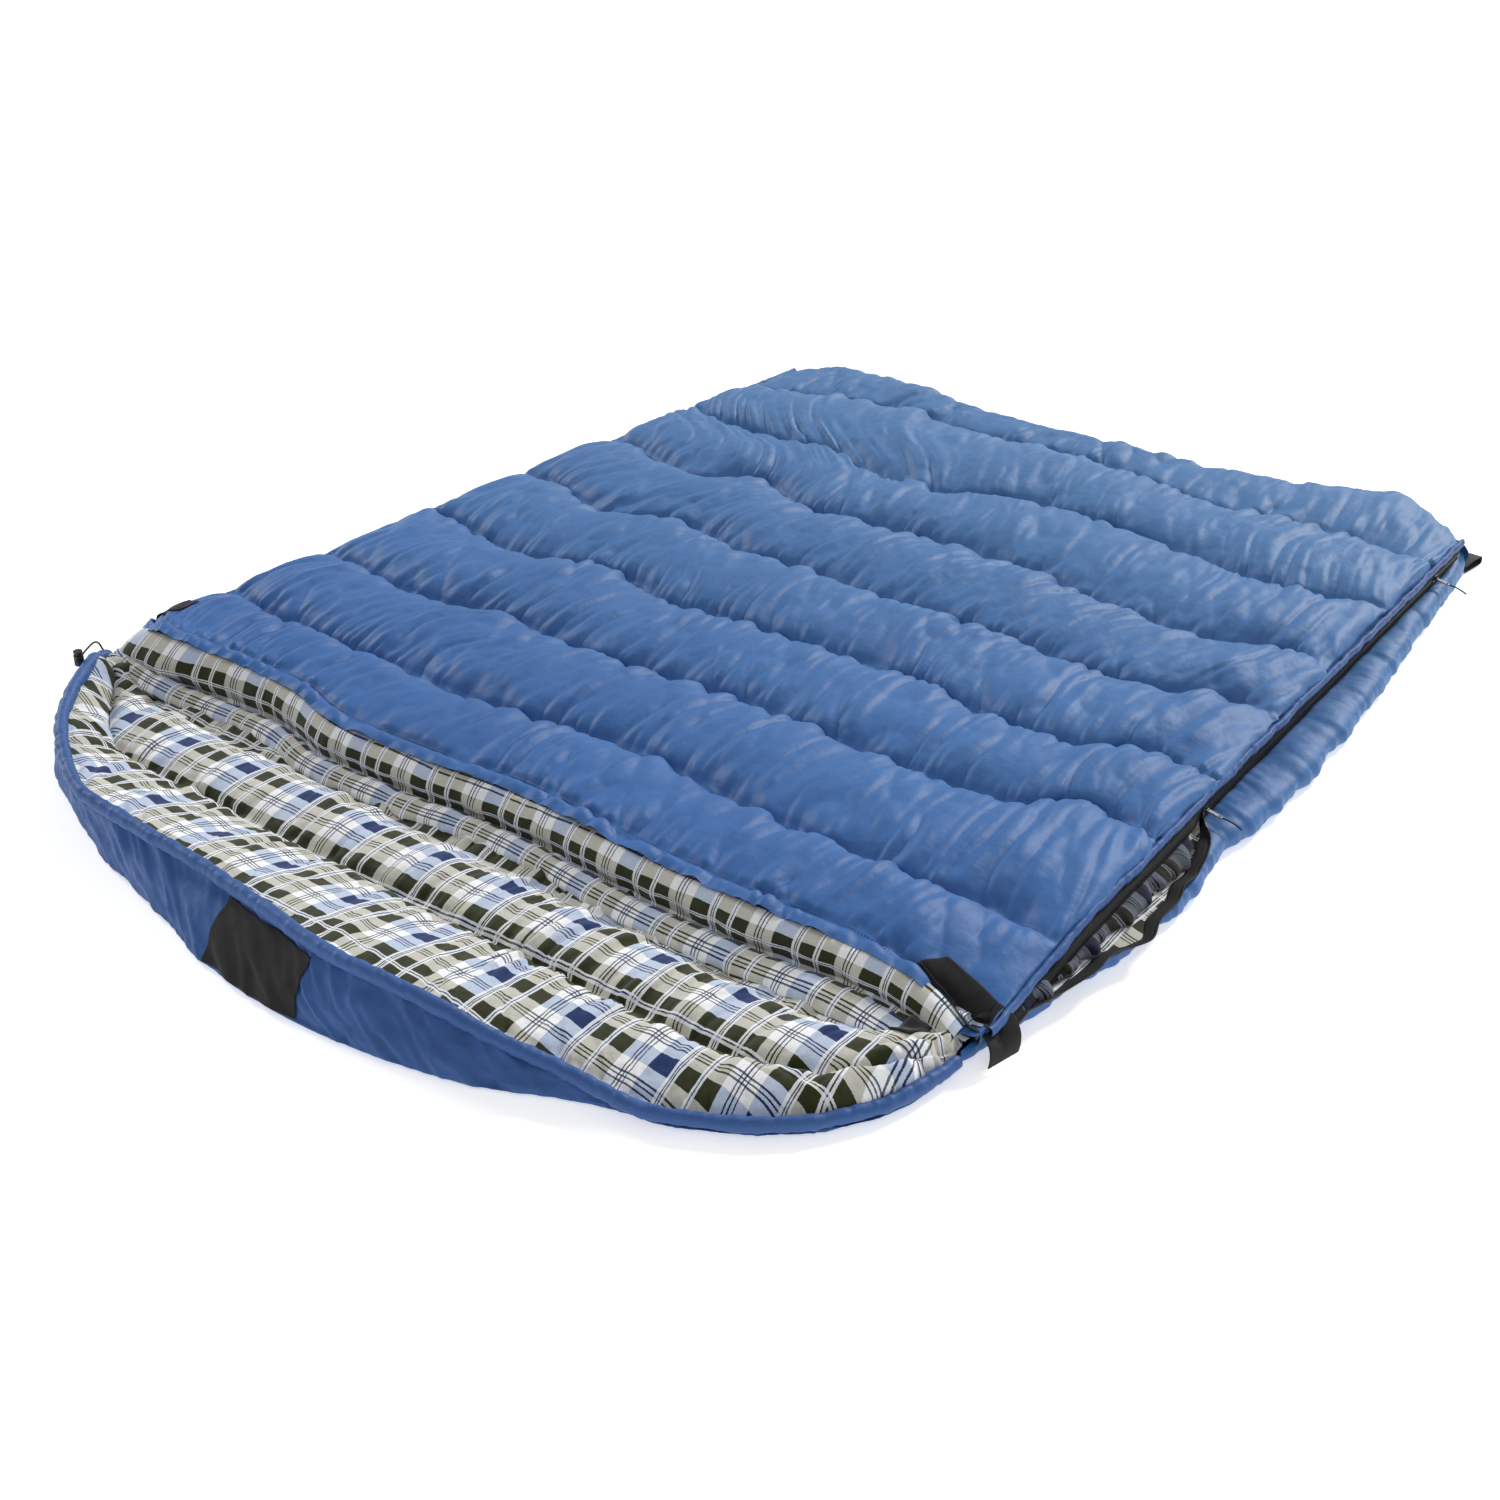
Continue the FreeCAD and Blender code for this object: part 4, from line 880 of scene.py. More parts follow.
# blue outer wall: floor edge, up the outside, to the rim
nv = 20
Wl = np.zeros((nh, nv, 3))
tall = sstep(0.045, 0.085, R_[:, 2])
for j in range(nv):
    t = j / (nv - 1)
    if t < 0.2:
        k = t / 0.2
        Wl[:, j, :2] = F_[:, :2] - OUT * (0.07 * (1 - k) + 0.004)
        Wl[:, j, 2] = 0.0012 + 0.002 * k
    else:
        k = (t - 0.2) / 0.8
        base = F_[:, :2] * (1 - k) + R_[:, :2] * k
        bulge = 0.010 * np.sin(np.pi * min(k * 1.0, 1.0)) * (0.5 + 0.5 * tall)
        Wl[:, j, :2] = base + OUT * bulge[:, None]
        top = R_[:, 2] - 0.010
        Wl[:, j, 2] = 0.003 + (top - 0.003) * (k ** 0.92)
fold_noise = fbm(s_len[:, None] * 14 + np.linspace(0, 1, nv)[None, :] * 0.9, np.linspace(0, 1, nv)[None, :] * 1.3 + 0 * s_len[:, None], 81, 3)
env = np.sin(np.pi * np.clip((np.linspace(0, 1, nv) - 0.15) / 0.85, 0, 1))[None, :]
Wl[..., :2] += OUT[:, None, :] * (0.0045 * fold_noise * env)[..., None]
pinw = np.zeros((nh, nv)); pinw[:, :4] = 1; pinw[:, -1] = 1; pinw[0] = 1; pinw[-1] = 1
restw = Wl.copy()
sl = np.cumsum(np.r_[0, np.linalg.norm(np.diff(Wl[:, nv // 2], axis=0), axis=1)])
tang = np.concatenate([T_, np.zeros((nh, 1))], 1)
restw += tang[:, None, :] * ((sl - sl[-1] / 2) * 0.11)[:, None, None]
# the hood wall takes the darker shell copy: painted shade
hood_wall = grid_mesh("hood_outer_wall", Wl, np.stack([np.broadcast_to(s_len[:, None], (nh, nv)), Wl[..., 2]], -1), mat=M_SHELL_SHADED, flip=True)
cloth_puff(hood_wall, pinw.reshape(-1), restw.reshape(-1, 3), pressure=0.5, frames=16)
WW = verts(hood_wall).reshape(nh, nv, 3)
finer(hood_wall, 1)
Pw = verts(hood_wall)
nn = np.empty(len(Pw) * 3, np.float32); hood_wall.data.vertices.foreach_get("normal", nn); nn = nn.reshape(-1, 3)
sw = Pw[:, 0] + 0.4 * Pw[:, 1]
set_verts(hood_wall, Pw + nn * (0.0115 * sstep(0.002, 0.012, Pw[:, 2]) * crease_field(sw + 0.6 * Pw[:, 2], Pw[:, 2] * 2.2, 251))[:, None])
ruffle(hood_wall, 0.0005, 70.0, 23)
print("wall", time.time() - T0)

# rolled rim over the drawcord casing
rr = 0.0095 + 0.0005 * tall
nt2 = 14
th2 = np.linspace(0, 2 * np.pi, nt2, endpoint=False)
m_r = nh * 3
Rf = np.stack([np.interp(np.linspace(0, 1, m_r), u_, R_[:, c]) for c in range(3)], 1)
Of = np.stack([np.interp(np.linspace(0, 1, m_r), u_, OUT[:, c]) for c in range(2)], 1)
sf = np.r_[0, np.cumsum(np.linalg.norm(np.diff(Rf, axis=0), axis=1))]
pk = 1 + 0.12 * noise2(sf[:, None] * 62, np.cos(th2)[None, :] * 1.1, 91) + 0.08 * noise2(sf[:, None] * 150, np.sin(th2)[None, :] * 1.2, 95)
rf = np.interp(np.linspace(0, 1, m_r), u_, rr)
Rm = np.zeros((m_r, nt2, 3))
Rm[..., :2] = Rf[:, None, :2] + Of[:, None, :] * (rf[:, None] * pk * np.cos(th2))[..., None]
Rm[..., 2] = Rf[:, None, 2] + rf[:, None] * pk * np.sin(th2) * 1.12
# the rim roll takes the darker shell copy: painted shade
hood_rim = grid_mesh("hood_rim_roll", Rm, np.stack([np.broadcast_to(sf[:, None], Rm.shape[:2]), np.broadcast_to(th2 * 0.01, Rm.shape[:2])], -1), closed_v=True, mat=M_SHELL_SHADED, flip=True)

# quilted plaid lining of the hood, from under the mouth to the rim
y_front = -0.640
nL = 64
f_s1 = lambda x: np.interp(x, [-0.85, -0.4, 0.2, 0.82], [-0.742, -0.752, -0.775, -0.792])
f_s2 = lambda x: np.interp(x, [-0.85, -0.5, 0.0, 0.5, 0.82], [-0.880, -0.888, -0.905, -0.918, -0.905])
Hg = np.zeros((nh, nL, 3))
inner = R_[:, :2] - OUT * 0.006
fx = np.clip(R_[:, 0] * 0.985, -0.80, 0.785)
vs = np.linspace(0, 1, nL)
v1 = np.clip((y_front - f_s1(R_[:, 0])) / (y_front - inner[:, 1]), 0.12, 0.40)
v2 = np.clip((y_front - f_s2(R_[:, 0])) / (y_front - inner[:, 1]), 0.35, 0.75)
v1 = blur1(v1, 5); v2 = blur1(v2, 5)
k1, k2 = int(0.26 * nL), int(0.58 * nL)
rowv = np.zeros((nh, nL))
for j in range(nL):
    if j <= k1:
        rowv[:, j] = v1 * (j / k1)
    elif j <= k2:
        rowv[:, j] = v1 + (v2 - v1) * (j - k1) / (k2 - k1)
    else:
        rowv[:, j] = v2 + (1 - v2) * (j - k2) / (nL - 1 - k2)
Hg[..., 0] = fx[:, None] * (1 - rowv) + inner[:, None, 0] * rowv
Hg[..., 1] = y_front * (1 - rowv) + inner[:, None, 1] * rowv
ends = sstep(0, 0.06, u_) * sstep(1, 0.94, u_)
z_rim = R_[:, 2] - 0.002
for j in range(nL):
    if j <= k1:
        t = j / k1
        z = 0.038 + 0.008 * math.sin(math.pi * t) + 0 * u_
    elif j <= k2:
        t = (j - k1) / (k2 - k1)
        z = 0.036 * (1 - t) + 0.040 * t + 0.024 * (1 - abs(2 * t - 1) ** 2.4) ** 0.65
    else:
        t = (j - k2) / (nL - 1 - k2)
        z = 0.040 * (1 - t ** 1.6) + z_rim * t ** 1.6 + 0.021 * (1 - abs(2 * min(t * 1.1, 1) - 1) ** 2.4) ** 0.65 * (1 - 0.4 * t)
    Hg[:, j, 2] = z
endz = z_rim
Hg[..., 2] = Hg[..., 2] * ends[:, None] + (0.036 * (1 - rowv) + endz[:, None] * rowv) * (1 - ends[:, None])
Hseed = fbm(Hg[..., 0] * 30, Hg[..., 1] * 9, 101, 3)
intr = np.ones((nh, nL)); intr[:, [0, 1, k1, k2, nL - 1]] = 0; intr[[0, -1]] = 0
H2 = Hg.copy(); H2[..., 2] += 0.0018 * Hseed * intr
pinh = np.zeros((nh, nL)); pinh[:, 0] = 1; pinh[:, k1] = 1; pinh[:, k2] = 1; pinh[:, -1] = 1; pinh[0] = 1; pinh[-1] = 1
resth = H2.copy(); resth[..., 0] *= 1.10; resth[..., 1] = -0.9 + (H2[..., 1] + 0.9) * 1.02
uvh = np.stack([H2[..., 0] + 0.0, H2[..., 1] + 0.0], -1)
hood_lining = grid_mesh("hood_quilted_lining", H2, uvh, mat=M_PLAID, flip=True)
cloth_puff(hood_lining, pinh.reshape(-1), resth.reshape(-1, 3), pressure=0.5, frames=20, bend=0.03)
finer(hood_lining, 1)
Ph = verts(hood_lining)
nn = np.empty(len(Ph) * 3, np.float32); hood_lining.data.vertices.foreach_get("normal", nn); nn = nn.reshape(-1, 3)
dsh = np.minimum(np.abs(Ph[:, 1] - f_s1(Ph[:, 0])), np.abs(Ph[:, 1] - f_s2(Ph[:, 0])))
amp = (0.0080 + 0.0110 * np.exp(-dsh / 0.05)) * (1 - np.exp(-(dsh / 0.006) ** 2))
set_verts(hood_lining, Ph + nn * (amp * crease_field(Ph[:, 0], Ph[:, 1], 301))[:, None])
ruffle(hood_lining, 0.0004, 80.0, 27)
print("hood lining", time.time() - T0)

# underside of the hood
nu2 = 60
idx = np.linspace(0, nh - 1, 90).astype(int)
U2 = np.zeros((90, 12, 3))
for j in range(12):
    t = j / 11
    tgt = np.stack([np.clip(F_[idx, 0], -0.84, 0.80), np.full(90, -0.70)], 1)
    U2[:, j, :2] = tgt * (1 - t) + (F_[idx, :2] - OUT[idx] * 0.02) * t
    U2[:, j, 2] = 0.0010
# darker shell copy: painted shade
hood_under = grid_mesh("hood_underside", U2, U2[..., :2].copy(), mat=M_SHELL_SHADED, flip=False)

# plain label, wrapped round the outer wall
from mathutils.bvhtree import BVHTree


def bvh_of(*objs):
    V, F, k = [], [], 0
    for o in objs:
        me = o.data
        V += [tuple(v.co) for v in me.vertices]
        F += [[i + k for i in p.vertices] for p in me.polygons]
        k = len(V)
    return BVHTree.FromPolygons(V, F)


B_WALL = bvh_of(hood_wall)
ia = int(np.argmin(np.abs(F_[:, 0] + 0.118))); ib = int(np.argmin(np.abs(F_[:, 0] - 0.080)))
seg_f = np.linspace(ia, ib, 60)
Lb = np.zeros((60, 22, 3))
for i, q in enumerate(seg_f):
    o2 = np.array([np.interp(q, np.arange(nh), OUT[:, c]) for c in range(2)])
    fl = np.array([np.interp(q, np.arange(nh), F_[:, c]) for c in range(3)]); rm = np.array([np.interp(q, np.arange(nh), R_[:, c]) for c in range(3)])
    for j in range(22):
        t = 0.06 + 0.83 * j / 21
        z = 0.004 + (rm[2] - 0.010) * t
        base = fl[:2] * (1 - t) + rm[:2] * t
        h = B_WALL.ray_cast(Vector((base[0] + o2[0] * 0.06, base[1] + o2[1] * 0.06, z)), Vector((-o2[0], -o2[1], 0)))
        pt = h[0] if h[0] is not None else Vector((base[0] + o2[0] * 0.012, base[1] + o2[1] * 0.012, z))
        Lb[i, j] = (pt.x + o2[0] * 0.0020, pt.y + o2[1] * 0.0020, z)
for _ in range(4):
    sm = (Lb[:-2, :] + Lb[2:, :]) / 2
    Lb[1:-1] = Lb[1:-1] * 0.5 + sm * 0.5
Lb[..., 1] -= 0.0012
label = grid_mesh("hood_plain_label", Lb, np.stack([np.broadcast_to(np.linspace(0, 0.2, 60)[:, None], Lb.shape[:2]), Lb[..., 2]], -1), mat=M_LABEL, flip=True)
solidify(label, 0.0012, 1.0)
subdivide(label, 1)

# ================================================================ lower quilt
BOT_R = [(0.812, -0.722), (0.826, -0.640), (0.838, -0.550), (0.850, -0.466), (0.862, -0.400), (0.860, -0.333), (0.866, -0.266), (0.860, -0.190), (0.850, -0.100), (0.850, -0.016), (0.856, 0.110), (0.852, 0.200), (0.840, 0.36), (0.822, 0.520), (0.803, 0.65), (0.785, 0.775), (0.770, 0.90), (0.755, 0.995)]
BOT_L = [(-0.868, -0.722), (-0.862, -0.60), (-0.858, -0.45), (-0.856, -0.30), (-0.840, 0.0), (-0.826, 0.25), (-0.812, 0.50), (-0.797, 0.72), (-0.785, 0.90), (-0.772, 0.995)]
TAPE_R = [(-0.722, 0.806, 0.030), (-0.659, 0.813, 0.032), (-0.60, 0.826, 0.032), (-0.54, 0.842, 0.033), (-0.474, 0.853, 0.035), (-0.435, 0.850, 0.038), (-0.409, 0.858, 0.034), (-0.364, 0.874, 0.031), (-0.320, 0.862, 0.038), (-0.261, 0.858, 0.034), (-0.225, 0.848, 0.040), (-0.187, 0.850, 0.036), (-0.140, 0.838, 0.043),
          (-0.094, 0.822, 0.045), (-0.060, 0.800, 0.046), (-0.045, 0.7935, 0.0455), (-0.02, 0.7915, 0.0455), (0.1, 0.785, 0.0455), (1.056, 0.735, 0.0455)]
def lower_seam_right(y):
    A = np.array(TAPE_R)
    return np.interp(y, A[:, 0], A[:, 1]), np.interp(y, A[:, 0], A[:, 2])
sR = np.linspace(0, 1, 260)
br = along([(x, y, 0) for x, y in BOT_R], len(sR))
bl = along([(x, y, 0) for x, y in BOT_L], len(sR))
def arc_corner(cx, cy, rx, ry, a0, a1, n):
    t = np.radians(np.linspace(a0, a1, n))
    return np.stack([cx + rx * np.cos(t), cy + ry * np.sin(t), 0 * t], 1)
foot_x = np.linspace(0.66, -0.68, 160)
foot_y = np.clip(f_foot(foot_x)[..., 0] + 0.010, 1.04, 1.17)
foot_o = np.stack([foot_x, foot_y, 0 * foot_x], 1)
outer = np.vstack([br, arc_corner(0.675, 1.045, 0.075, 0.065, 12, 62, 10), foot_o, arc_corner(-0.695, 1.03, 0.075, 0.06, 118, 168, 10), bl[::-1]])
outer = np.stack([blur1(outer[:, 0], 2), blur1(outer[:, 1], 2), outer[:, 2]], 1)
n_o = len(outer)
To = np.gradient(outer[:, :2], axis=0); To /= np.maximum(np.linalg.norm(To, axis=1), 1e-9)[:, None]
So = np.stack([To[:, 1], -To[:, 0]], 1)
so = np.r_[0, np.cumsum(np.linalg.norm(np.diff(outer[:, :2], axis=0), axis=1))]
# the seam that the shell climbs to
inn = outer.copy()
for i in range(n_o):
    x, y = outer[i, :2]
    if i < len(sR):
        xi, zi = lower_seam_right(y)
        inn[i] = (min(xi, x - 0.004), y, zi - 0.007)
    elif i >= n_o - len(sR):
        inn[i] = (max(zl(y), x + 0.006), y, 0.040)
    else:
        inn[i, :2] = outer[i, :2] - So[i] * 0.020; inn[i, 2] = 0.045
inn = np.stack([blur1(inn[:, 0], 2), blur1(inn[:, 1], 2), blur1(inn[:, 2], 2)], 1)
prof = [(-0.10, 0.0012, 0), (-0.045, 0.0012, 0), (-0.014, 0.0020, 0), (-0.003, 0.0070, 0), (0.0, 0.0150, 0.05), (-0.001, 0.0220, 0.15)]
nvb = len(prof) + 9
Bt = np.zeros((n_o, nvb, 3))
puck = 0.0055 * noise2(so * 12, so * 0 + 4.2, 109) + 0.0040 * fbm(so * 26, so * 0 + 1.3, 111, 3) + 0.0016 * noise2(so * 70, so * 0, 117)
for j in range(nvb):
    if j < len(prof):
        o_, z_, w_ = prof[j]
        Bt[:, j, :2] = outer[:, :2] + So * (o_ + puck * (j >= 2))[:, None]
        Bt[:, j, 2] = z_ + (0.25 * np.abs(puck) if j >= 3 else 0)
    else:
        t = (j - len(prof) + 1) / 9.0
        q = math.pi / 2 * t
        a_ = np.stack([outer[:, 0], outer[:, 1]], 1) + So * (-0.001 + puck * (1 - 0.6 * t))[:, None]
        w_in = 1 - math.cos(q)
        Bt[:, j, :2] = a_ * (1 - w_in) + inn[:, :2] * w_in
        hb = np.maximum(inn[:, 2] - 0.022, 0.004)
        bulge_up = 0.010 * math.sin(math.pi * t) * np.clip(np.linalg.norm(outer[:, :2] - inn[:, :2], axis=1) / 0.05, 0, 1)
        Bt[:, j, 2] = 0.022 + hb * math.sin(q) + bulge_up * 0.6 + 0.6 * puck * math.sin(math.pi * t)
bottom_shell = grid_mesh("bottom_quilt_side", Bt, np.stack([np.broadcast_to(so[:, None], Bt.shape[:2]), Bt[..., 2]], -1), mat=M_SHELL, flip=False)
finer(bottom_shell, 1)
Pb = verts(bottom_shell)
nn = np.empty(len(Pb) * 3, np.float32); bottom_shell.data.vertices.foreach_get("normal", nn); nn = nn.reshape(-1, 3)
on_foot = sstep(0.98, 1.04, Pb[:, 1])
fld = crease_field(Pb[:, 1] * 0.9, Pb[:, 0] + Pb[:, 2], 261) * (1 - on_foot) + crease_field(Pb[:, 0] * 0.9, Pb[:, 1] + Pb[:, 2], 263) * on_foot
set_verts(bottom_shell, Pb + nn * (0.0085 * sstep(0.003, 0.010, Pb[:, 2]) * fld)[:, None])
ruffle(bottom_shell, 0.0005, 70.0, 29)
# flat underside
ny3 = 60
Ub = np.zeros((ny3, 40, 3))
ysU = np.linspace(-0.705, 1.02, ny3)
orx = np.interp(ysU, br[:, 1], br[:, 0]) - 0.02; olx = np.interp(ysU, bl[:, 1], bl[:, 0]) + 0.02
Ub[..., 0] = olx[:, None] + (orx - olx)[:, None] * np.linspace(0, 1, 40)
Ub[..., 1] = ysU[:, None]; Ub[..., 2] = 0.0008
# darker shell copy: painted shade
bottom_under = grid_mesh("bottom_quilt_underside", Ub, Ub[..., :2].copy(), mat=M_SHELL_SHADED, flip=True)

# lining of the sleeping space
ny4, nx4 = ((170, 150))
ysB = np.linspace(-0.700, 1.085, ny4)
Gb = np.zeros((ny4, nx4, 3))
tx, tz = lower_seam_right(ysB)
xl4 = zl(ysB) - 0.002; xr4 = np.maximum(tx - 0.004, 0)
Gb[..., 0] = xl4[:, None] + (xr4 - xl4)[:, None] * np.linspace(0, 1, nx4)
Gb[..., 1] = ysB[:, None]
Xb, Yb = Gb[..., 0], Gb[..., 1]
db = np.min([np.abs(Yb - (sy + 0.010 * noise2(Xb * 3, Xb * 0 + sy * 5, 19))) for sy in [-0.46, -0.22, 0.02, 0.26, 0.50, 0.74, 0.96]], axis=0)
pb = 0.0075 * (1 - np.exp(-(db / 0.03) ** 1.3))
eb = sstep(0, 0.05, Xb - xl4[:, None]) * sstep(0, 0.05, xr4[:, None] - Xb) * sstep(1.085, 1.03, Yb)
Gb[..., 2] = 0.0375 * 1.0 + (pb + 0.0012 * fbm(Xb * 28, Yb * 9, 51, 3)) * eb - 0.006 * (1 - sstep(0, 0.04, xr4[:, None] - Xb)) * sstep(-0.05, -0.12, Yb)
bottom_lining = grid_mesh("bottom_quilt_lining", Gb, np.stack([Xb, Yb + 0.02], -1), mat=M_PLAID, flip=True)

# foot gusset between the two quilts
gi = np.arange(len(sR) + 3, n_o - len(sR) - 3)
Gs = np.zeros((len(gi), 10, 3))
og = outer[gi, :2]
for j in range(10):
    t = j / 9
    pg = 0.0028 * fbm(so[gi] * 26, so[gi] * 0 + t * 1.2, 131, 3)
    Gs[:, j, :2] = og + So[gi] * (0.001 + 0.007 * math.sin(math.pi * t) + pg * math.sin(math.pi * t) - 0.012 * (1 - t) * 0)[:, None]
    Gs[:, j, 2] = 0.030 + 0.030 * t
gusset = grid_mesh("foot_gusset", Gs, np.stack([np.broadcast_to(so[gi][:, None], Gs.shape[:2]), Gs[..., 2]], -1), mat=M_SHELL, flip=False)
finer(gusset, 1)
print("bottom", time.time() - T0)

# ============================================================ zips, both sides
def strip(name, P, W0, W1, mat, n_across=4, wave=None):
    """A thin ribbon between two edges given as offsets from the path P: W0, W1 are (n,3) or (3,)."""
    A = P + W0; B = P + W1
    V = np.stack([A * (1 - t) + B * t for t in np.linspace(0, 1, n_across)], 1)
    if wave is not None:
        V = V + wave(V)
    s = np.r_[0, np.cumsum(np.linalg.norm(np.diff(P, axis=0), axis=1))]
    uv = np.stack(np.broadcast_arrays(s[:, None], np.linspace(0, 0.015, n_across)[None, :]), -1)
    o = grid_mesh(name, V, uv, mat=mat)
    solidify(o, 0.0009, 0.0)
    return o


def coil(name, P, out, mat, pitch=0.0030, r=0.0015, side=1.0):
    """A row of zip teeth along P: each a small hump with a nose, standing on the tape's edge."""
    d = np.r_[0, np.cumsum(np.linalg.norm(np.diff(P, axis=0), axis=1))]
    s = np.arange(0.002, d[-1] - 0.002, pitch)
    C = np.stack([np.interp(s, d, P[:, k]) for k in range(3)], 1)
    T = np.gradient(C, axis=0); T /= np.linalg.norm(T, axis=1)[:, None]
    O = np.stack([np.interp(s, d, out[:, k]) for k in range(3)], 1); O /= np.linalg.norm(O, axis=1)[:, None]
    Z = np.cross(T, O)
    w, h, l = pitch * 0.30, r * 0.95, r * 1.15
    V = []
    for (a, b, c) in [(-w, -h, -l), (w, -h, -l), (w * 0.6, -h * 0.55, l), (-w * 0.6, -h * 0.55, l), (-w, h, -l), (w, h, -l), (w * 0.6, h * 0.55, l), (-w * 0.6, h * 0.55, l)]:
        V.append(C + T * a + O * b + Z * side * c)
    V = np.stack(V, 1).reshape(-1, 3)
    F = []
    q = [[0, 1, 2, 3], [7, 6, 5, 4], [0, 4, 5, 1], [3, 2, 6, 7], [1, 5, 6, 2], [0, 3, 7, 4]]
    for i in range(len(s)):
        F += [[8 * i + k for k in f] for f in q]
    # a cord that the teeth sit on
    m = len(C)
    ring = 6
    a = np.linspace(0, 2 * np.pi, ring, endpoint=False)
    R = (C[:, None] + O[:, None] * (0.00085 * np.cos(a))[None, :, None] + Z[:, None] * (0.00085 * np.sin(a))[None, :, None] - Z[:, None] * side * l * 0.9).reshape(-1, 3)
    k0 = len(V)
    for i in range(m - 1):
        for j in range(ring):
            F.append([k0 + i * ring + j, k0 + i * ring + (j + 1) % ring, k0 + (i + 1) * ring + (j + 1) % ring, k0 + (i + 1) * ring + j])
    me = bpy.data.meshes.new(name)
    me.from_pydata(np.vstack([V, R]).tolist(), [], F)
    me.update()
    o = bpy.data.objects.new(name, me)
    bpy.context.scene.collection.objects.link(o)
    me.materials.append(mat)
    return o


def zip_side(side):
    sx = 1 if side == "right" else -1
    fz = zr if sx > 0 else zl
    y_open = -0.045
    y0 = -0.690 if sx > 0 else -0.600
    y = np.linspace(y0, 1.052, 620)
    x = fz(y)
    # lower tape, lying over the lower quilt's edge where the zip is open
    if sx > 0:
        A = np.array(TAPE_R)
        tx, tz = np.interp(y, A[:, 0], A[:, 1]), np.interp(y, A[:, 0], A[:, 2])
        tx, tz = blur1(tx, 3), blur1(tz, 3)
    else:
        k = sstep(-0.06, -0.20, y)
        tx = x - k * (0.010 + 0.006 * noise2(y * 9, y * 0, 141)); tz = 0.0455 - k * (0.008 + 0.003 * noise2(y * 11, y * 0, 143))
    opened = sstep(-0.055, -0.12, y)
    low = np.stack([tx, y, tz], 1)
    lean = np.stack([sx * (0.0 + 0.0095 * opened), 0 * y, 0.0075 - 0.004 * opened], 1)
    wl = 0.0016 * noise2(y * 28, y * 0, 145 + sx) * opened
    low[:, 2] += wl; low[:, 0] += sx * 1.2 * wl
    t_low = strip(side + "_lower_tape_cloth", low, -lean, lean, M_TAPE)
    edge_l = low + lean * (1 + 0.15)
    out_l = np.stack([lean[:, 2] * sx, 0 * y, -np.abs(lean[:, 0]) - 0.0], 1)
    c_low = coil(side + "_lower_teeth", edge_l + np.array([0, 0, 0.0010]), np.stack([sx * np.ones_like(y), 0 * y, -opened * 0.9], 1), M_COIL, side=1.0)
    # upper tape on the upper quilt's edge
    ux = x + sx * (0.002 + opened * 0.004 * noise2(y * 7, y * 0, 151 + sx)); uz = 0.0681 + 0 * y
    if sx > 0:
        dr_ = sstep(-0.36, -0.69, y)
        uz = uz - 0.028 * dr_
    uz = uz + opened * 0.0022 * noise2(y * 13, y * 0, 153 + sx)
    upz = np.stack([ux, y, uz], 1)
    lean_u = np.stack([-sx * (0.0005 + 0.0070 * opened), 0 * y, 0.0090 - 0.0015 * opened], 1)
    upz[:, 0] += sx * 0.0065 * opened
    pieces_ = {"foot": y >= FOLD_Y + 0.004, "head": y <= FOLD_Y - 0.004 + 0.006}
    t_up = {}
    t_up = strip(side + "_upper_tape_cloth", upz, -lean_u, lean_u, M_TAPE)
    c_up = coil(side + "_upper_teeth", upz - lean_u * 1.12, np.stack([sx * np.ones_like(y), 0 * y, 0 * y], 1), M_COIL, side=-1.0)
    # row of stitches along each tape
    st = stitch_line(upz + lean_u * 0.62 + np.array([sx * 0.0006, 0, 0]), np.stack([sx * np.ones_like(y), 0 * y, 0 * y], 1), pitch=0.0048)
    s1 = join_meshes(side + "_upper_tape_stitches", st, M_TAPE)
    st = stitch_line(low - lean * 0.5 + np.array([sx * 0.0006, 0, 0.0004]), np.stack([sx * np.ones_like(y), 0 * y, opened * 0.8], 1), pitch=0.0048)
    s2 = join_meshes(side + "_lower_tape_stitches", st, M_TAPE)
    for o in (t_low, c_low, s2):
        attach(o, "base")
    for o in (t_up, c_up, s1):
        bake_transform(o)
    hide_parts(side + "_lower_tape"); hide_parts(side + "_lower_coil")
    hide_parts(side + "_upper_head_tape", side + "_upper_foot_tape")
    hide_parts(side + "_upper_head_coil", side + "_upper_foot_coil")
    # ruffled draft tube behind the zip
    yd = np.linspace(-0.66 if sx > 0 else -0.61, 1.045, 560)
    txd = np.interp(yd, y, tx)
    op = sstep(-0.055, -0.15, yd)
    xc = fz(yd) - sx * (0.024 + (0.009 * op if sx < 0 else 0))
    if sx > 0:
        xc = xc * (1 - op) + (0.52 * fz(yd) + 0.48 * txd - 0.012) * op
    zc = 0.0475 - 0.004 * op - (0.012 * sstep(-0.40, -0.66, yd) if sx > 0 else 0)
    r1 = 0.0105 + 0.0045 * op
    nt3 = 16
    th3 = np.linspace(0, 2 * np.pi, nt3, endpoint=False)
    ruf = 1 + (0.10 + 0.30 * op[:, None]) * fbm(yd[:, None] * 34 + 0 * th3, np.cos(th3)[None, :] * 1.2 + 3, 161 + sx, 3)
    D = np.zeros((len(yd), nt3, 3))
    D[..., 0] = xc[:, None] + (r1[:, None] * (1 + 0.5 * op[:, None])) * ruf * np.cos(th3)
    D[..., 1] = yd[:, None]
    D[..., 2] = zc[:, None] + (r1[:, None] * 0.85) * ruf * np.sin(th3)
    # the right draft tube takes the dimmed plaid (painted shade inside the open zip); the left one takes the plain
    # plaid
    tube_o = grid_mesh(side + "_draft_tube_roll", D, np.stack([np.broadcast_to(th3 / (2 * np.pi) * 0.07, D.shape[:2]), D[..., 1] * 1.1], -1), closed_v=True, mat=M_PLAID_SHADED if sx > 0 else M_PLAID)
    subdivide(tube_o, 1)
    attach(tube_o, "base"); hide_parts(side + "_draft_tube")
    return low, upz


